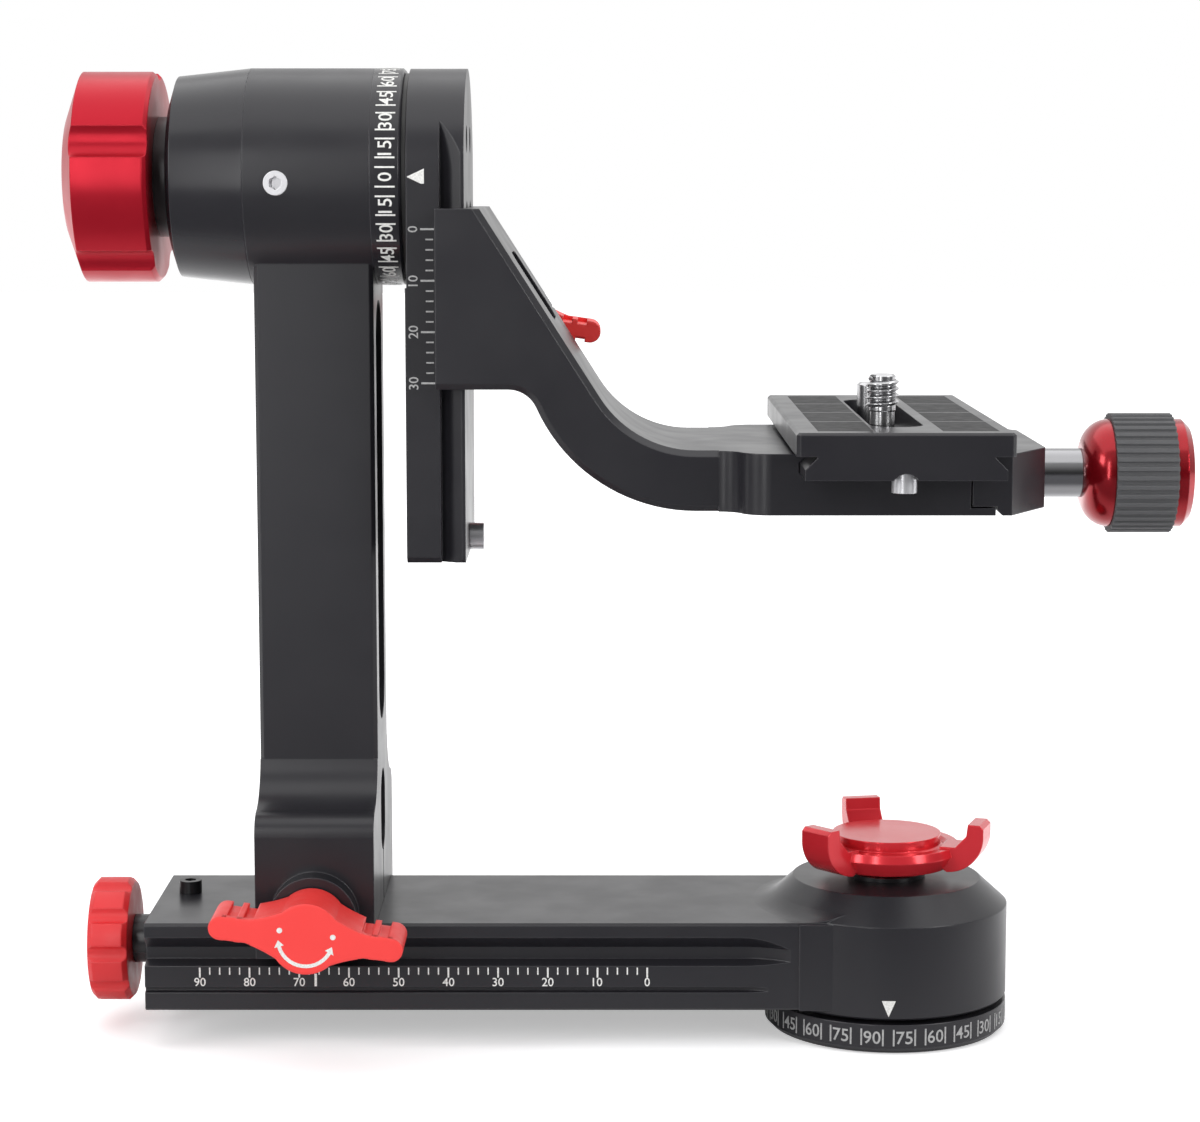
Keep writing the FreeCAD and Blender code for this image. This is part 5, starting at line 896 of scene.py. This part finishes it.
# ---- Tilt lock
# A turned and scalloped aluminium knob, anodised red, behind it a dark steel collar
# that bears on the hub's cap.
red_turned = red_anodised("red_turned", (0.43, 0.005, 0.018), (0.28, 0.38), 0.0, 0.6, 4800.0,
                          LINES_ROUND_X)
wear(red_turned, "tilt_lock_knob")
wear(black_oxide, "tilt_knob_collar")


# ---- Lens bracket
# Milled in one and bead blasted: the channel on the swing plate, the curved arm, and
# the base of the camera clamp. Two ground pins guide the clamp's jaw.
wear(blasted_black, "lens_bracket")
wear(steel_turned_x, "jaw_guide_pins")


# ---- Bracket clamp
# The rear jaw of the channel, drawn in by a steel stud with a red winged knob like
# the one on the rail.
wear(blasted_black, "bracket_jaw")
wear(red_wing_coat, "bracket_wing_knob")
wear(steel_turned_z, "bracket_wing_stud")
BRACKET_WING_X = -78.0
BRACKET_WING_Z = 144.0
BRACKET_WING_TILT_DEG = -8.0
face, lip_face = wing_end(BRACKET_WING_X, box_mm("bracket_wing_knob")[1][1], BRACKET_WING_Z,
                          BRACKET_WING_TILT_DEG, 1)
wing_lip("bracket_wing_end_plate", face, "bracket_wing")
inlay("bracket_wing_arrow", turn_marks(), [], lip_face, "bracket_wing")


# ---- Camera clamp
# The moving jaw is milled like the bracket. Its knob is red anodised aluminium with a
# ribbed rubber grip, on a dark chromed steel sleeve and screw.
wear(blasted_black, "clamp_jaw")
red_knob = red_anodised("red_knob", (0.33, 0.004, 0.011), (0.16, 0.24), 0.4, 0.7, 4800.0, LINES_ROUND_X)
wear(red_knob, "clamp_knob_body")
black_chrome = bare_metal("black_chrome", (0.32, 0.32, 0.33), (0.12, 0.2), LINES_ROUND_X)
wear(black_chrome, "clamp_screw")


def rubber(name, colour, second_colour, rough, cells, depth):
    """Moulded rubber: a dull, finely pitted skin, paler at its edges: partly handled wear, partly a
    painted highlight.
    """
    paint, tree, shader = finish_of(name, colour, rough[0])
    shader.inputs["Specular IOR Level"].default_value = 0.35
    near = rounded_edges(tree, shader, grain(tree, cells, EVEN, 5.0), depth, 0.3)
    tinted(tree, shader, near, colour, second_colour)
    tree.links.new(spread(tree, grain(tree, 400.0), *rough), shader.inputs["Roughness"])
    return paint


grip_rubber = rubber("grip_rubber", (0.085, 0.086, 0.09), (0.2, 0.2, 0.205), (0.6, 0.78), 4200.0, 0.01)
wear(grip_rubber, "clamp_knob_grip")


# ---- Camera plate
# A blasted and anodised dovetail plate with rubber pads let into its top. A silver cap
# screw under each end keeps it from sliding out of the clamp.
wear(blasted_black, "quick_plate")
pad_rubber = rubber("pad_rubber", (0.03, 0.03, 0.031), (0.07, 0.07, 0.07), (0.62, 0.8), 2800.0, 0.014)
wear(pad_rubber, "plate_pads")
wear(bright_zinc, "plate_stop_screws")
wear(steel_turned_z, "anti_twist_pin")


# ---- Camera screw
# A turned steel screw with a rolled quarter-inch thread and a plain neck, so it can hang
# loose in the plate's slot. A steel washer spreads its pull.
wear(steel_turned_z, "camera_screw", "camera_screw_washer")
SCREW_X = -4.7
SCREW_Y = -28.5
SCREW_HEAD_LOW, SCREW_TOP = box_mm("camera_screw")[0][2], box_mm("camera_screw")[1][2]
SCREW_HEAD_TOP = 121.8
SCREW_NECK_TOP = 129.6
SCREW_CREST_R = 3.175
SCREW_ROOT_R = 2.55
SCREW_NECK_R = 2.4
SCREW_HEAD_R = 5.6
SCREW_EDGE = 0.3                 # the broken edges of its head
SCREW_SHOULDER = 0.2             # from the neck to the thread
SCREW_POINT = 0.4                # the bevel at its tip
SCREW_RIM_R = SCREW_HEAD_R - SCREW_EDGE
SCREW_PITCH = INCH / 20
SOCKET_R = 3.08
SOCKET_DEPTH = 1.4
SCREW_SEGMENTS = 60


def hex_socket_in(shape, radius, depth, rim_r, level, x, y, segments):
    """The underside of a screw's head: a flat rim with a six-sided socket sunk in it."""
    def loop(radius_at, z):
        return [shape.verts.new(((x + radius_at(k) * math.cos(2 * math.pi * k / segments)) * MM,
                                 (y + radius_at(k) * math.sin(2 * math.pi * k / segments)) * MM, z * MM))
                for k in range(segments)]

    def six_sided(k):
        angle = (2 * math.pi * k / segments) % (math.pi / 3) - math.pi / 6
        return radius * math.cos(math.pi / 6) / math.cos(angle)

    rings = [loop(lambda k: rim_r, level), loop(six_sided, level), loop(six_sided, level + depth)]
    for first, second in zip(rings, rings[1:]):
        for k in range(segments):
            after = (k + 1) % segments
            shape.faces.new((first[k], second[k], second[after], first[after]))
    shape.faces.new(rings[-1])
    return rings[0]


shape = bmesh.new()
hex_socket_in(shape, SOCKET_R, SOCKET_DEPTH, SCREW_RIM_R, SCREW_HEAD_LOW, SCREW_X, SCREW_Y, SCREW_SEGMENTS)
lathe(shape, [(SCREW_RIM_R, SCREW_HEAD_LOW), (SCREW_HEAD_R, SCREW_HEAD_LOW + SCREW_EDGE),
              (SCREW_HEAD_R, SCREW_HEAD_TOP - SCREW_EDGE), (SCREW_RIM_R, SCREW_HEAD_TOP),
              (SCREW_NECK_R, SCREW_HEAD_TOP), (SCREW_NECK_R, SCREW_NECK_TOP),
              (SCREW_ROOT_R, SCREW_NECK_TOP + SCREW_SHOULDER), (SCREW_ROOT_R, SCREW_TOP - SCREW_POINT),
              (SCREW_ROOT_R - SCREW_POINT, SCREW_TOP), (0.0, SCREW_TOP)],
      SCREW_X, SCREW_Y, SCREW_SEGMENTS)
thread_ridge(shape, SCREW_ROOT_R - RIDGE_SINK, SCREW_CREST_R, SCREW_PITCH, SCREW_NECK_TOP, SCREW_TOP,
             SCREW_X, SCREW_Y)
weld(shape)
threaded_screw = add_piece("camera_screw_threaded", shape, steel_turned_z, "screw")
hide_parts("camera_screw")
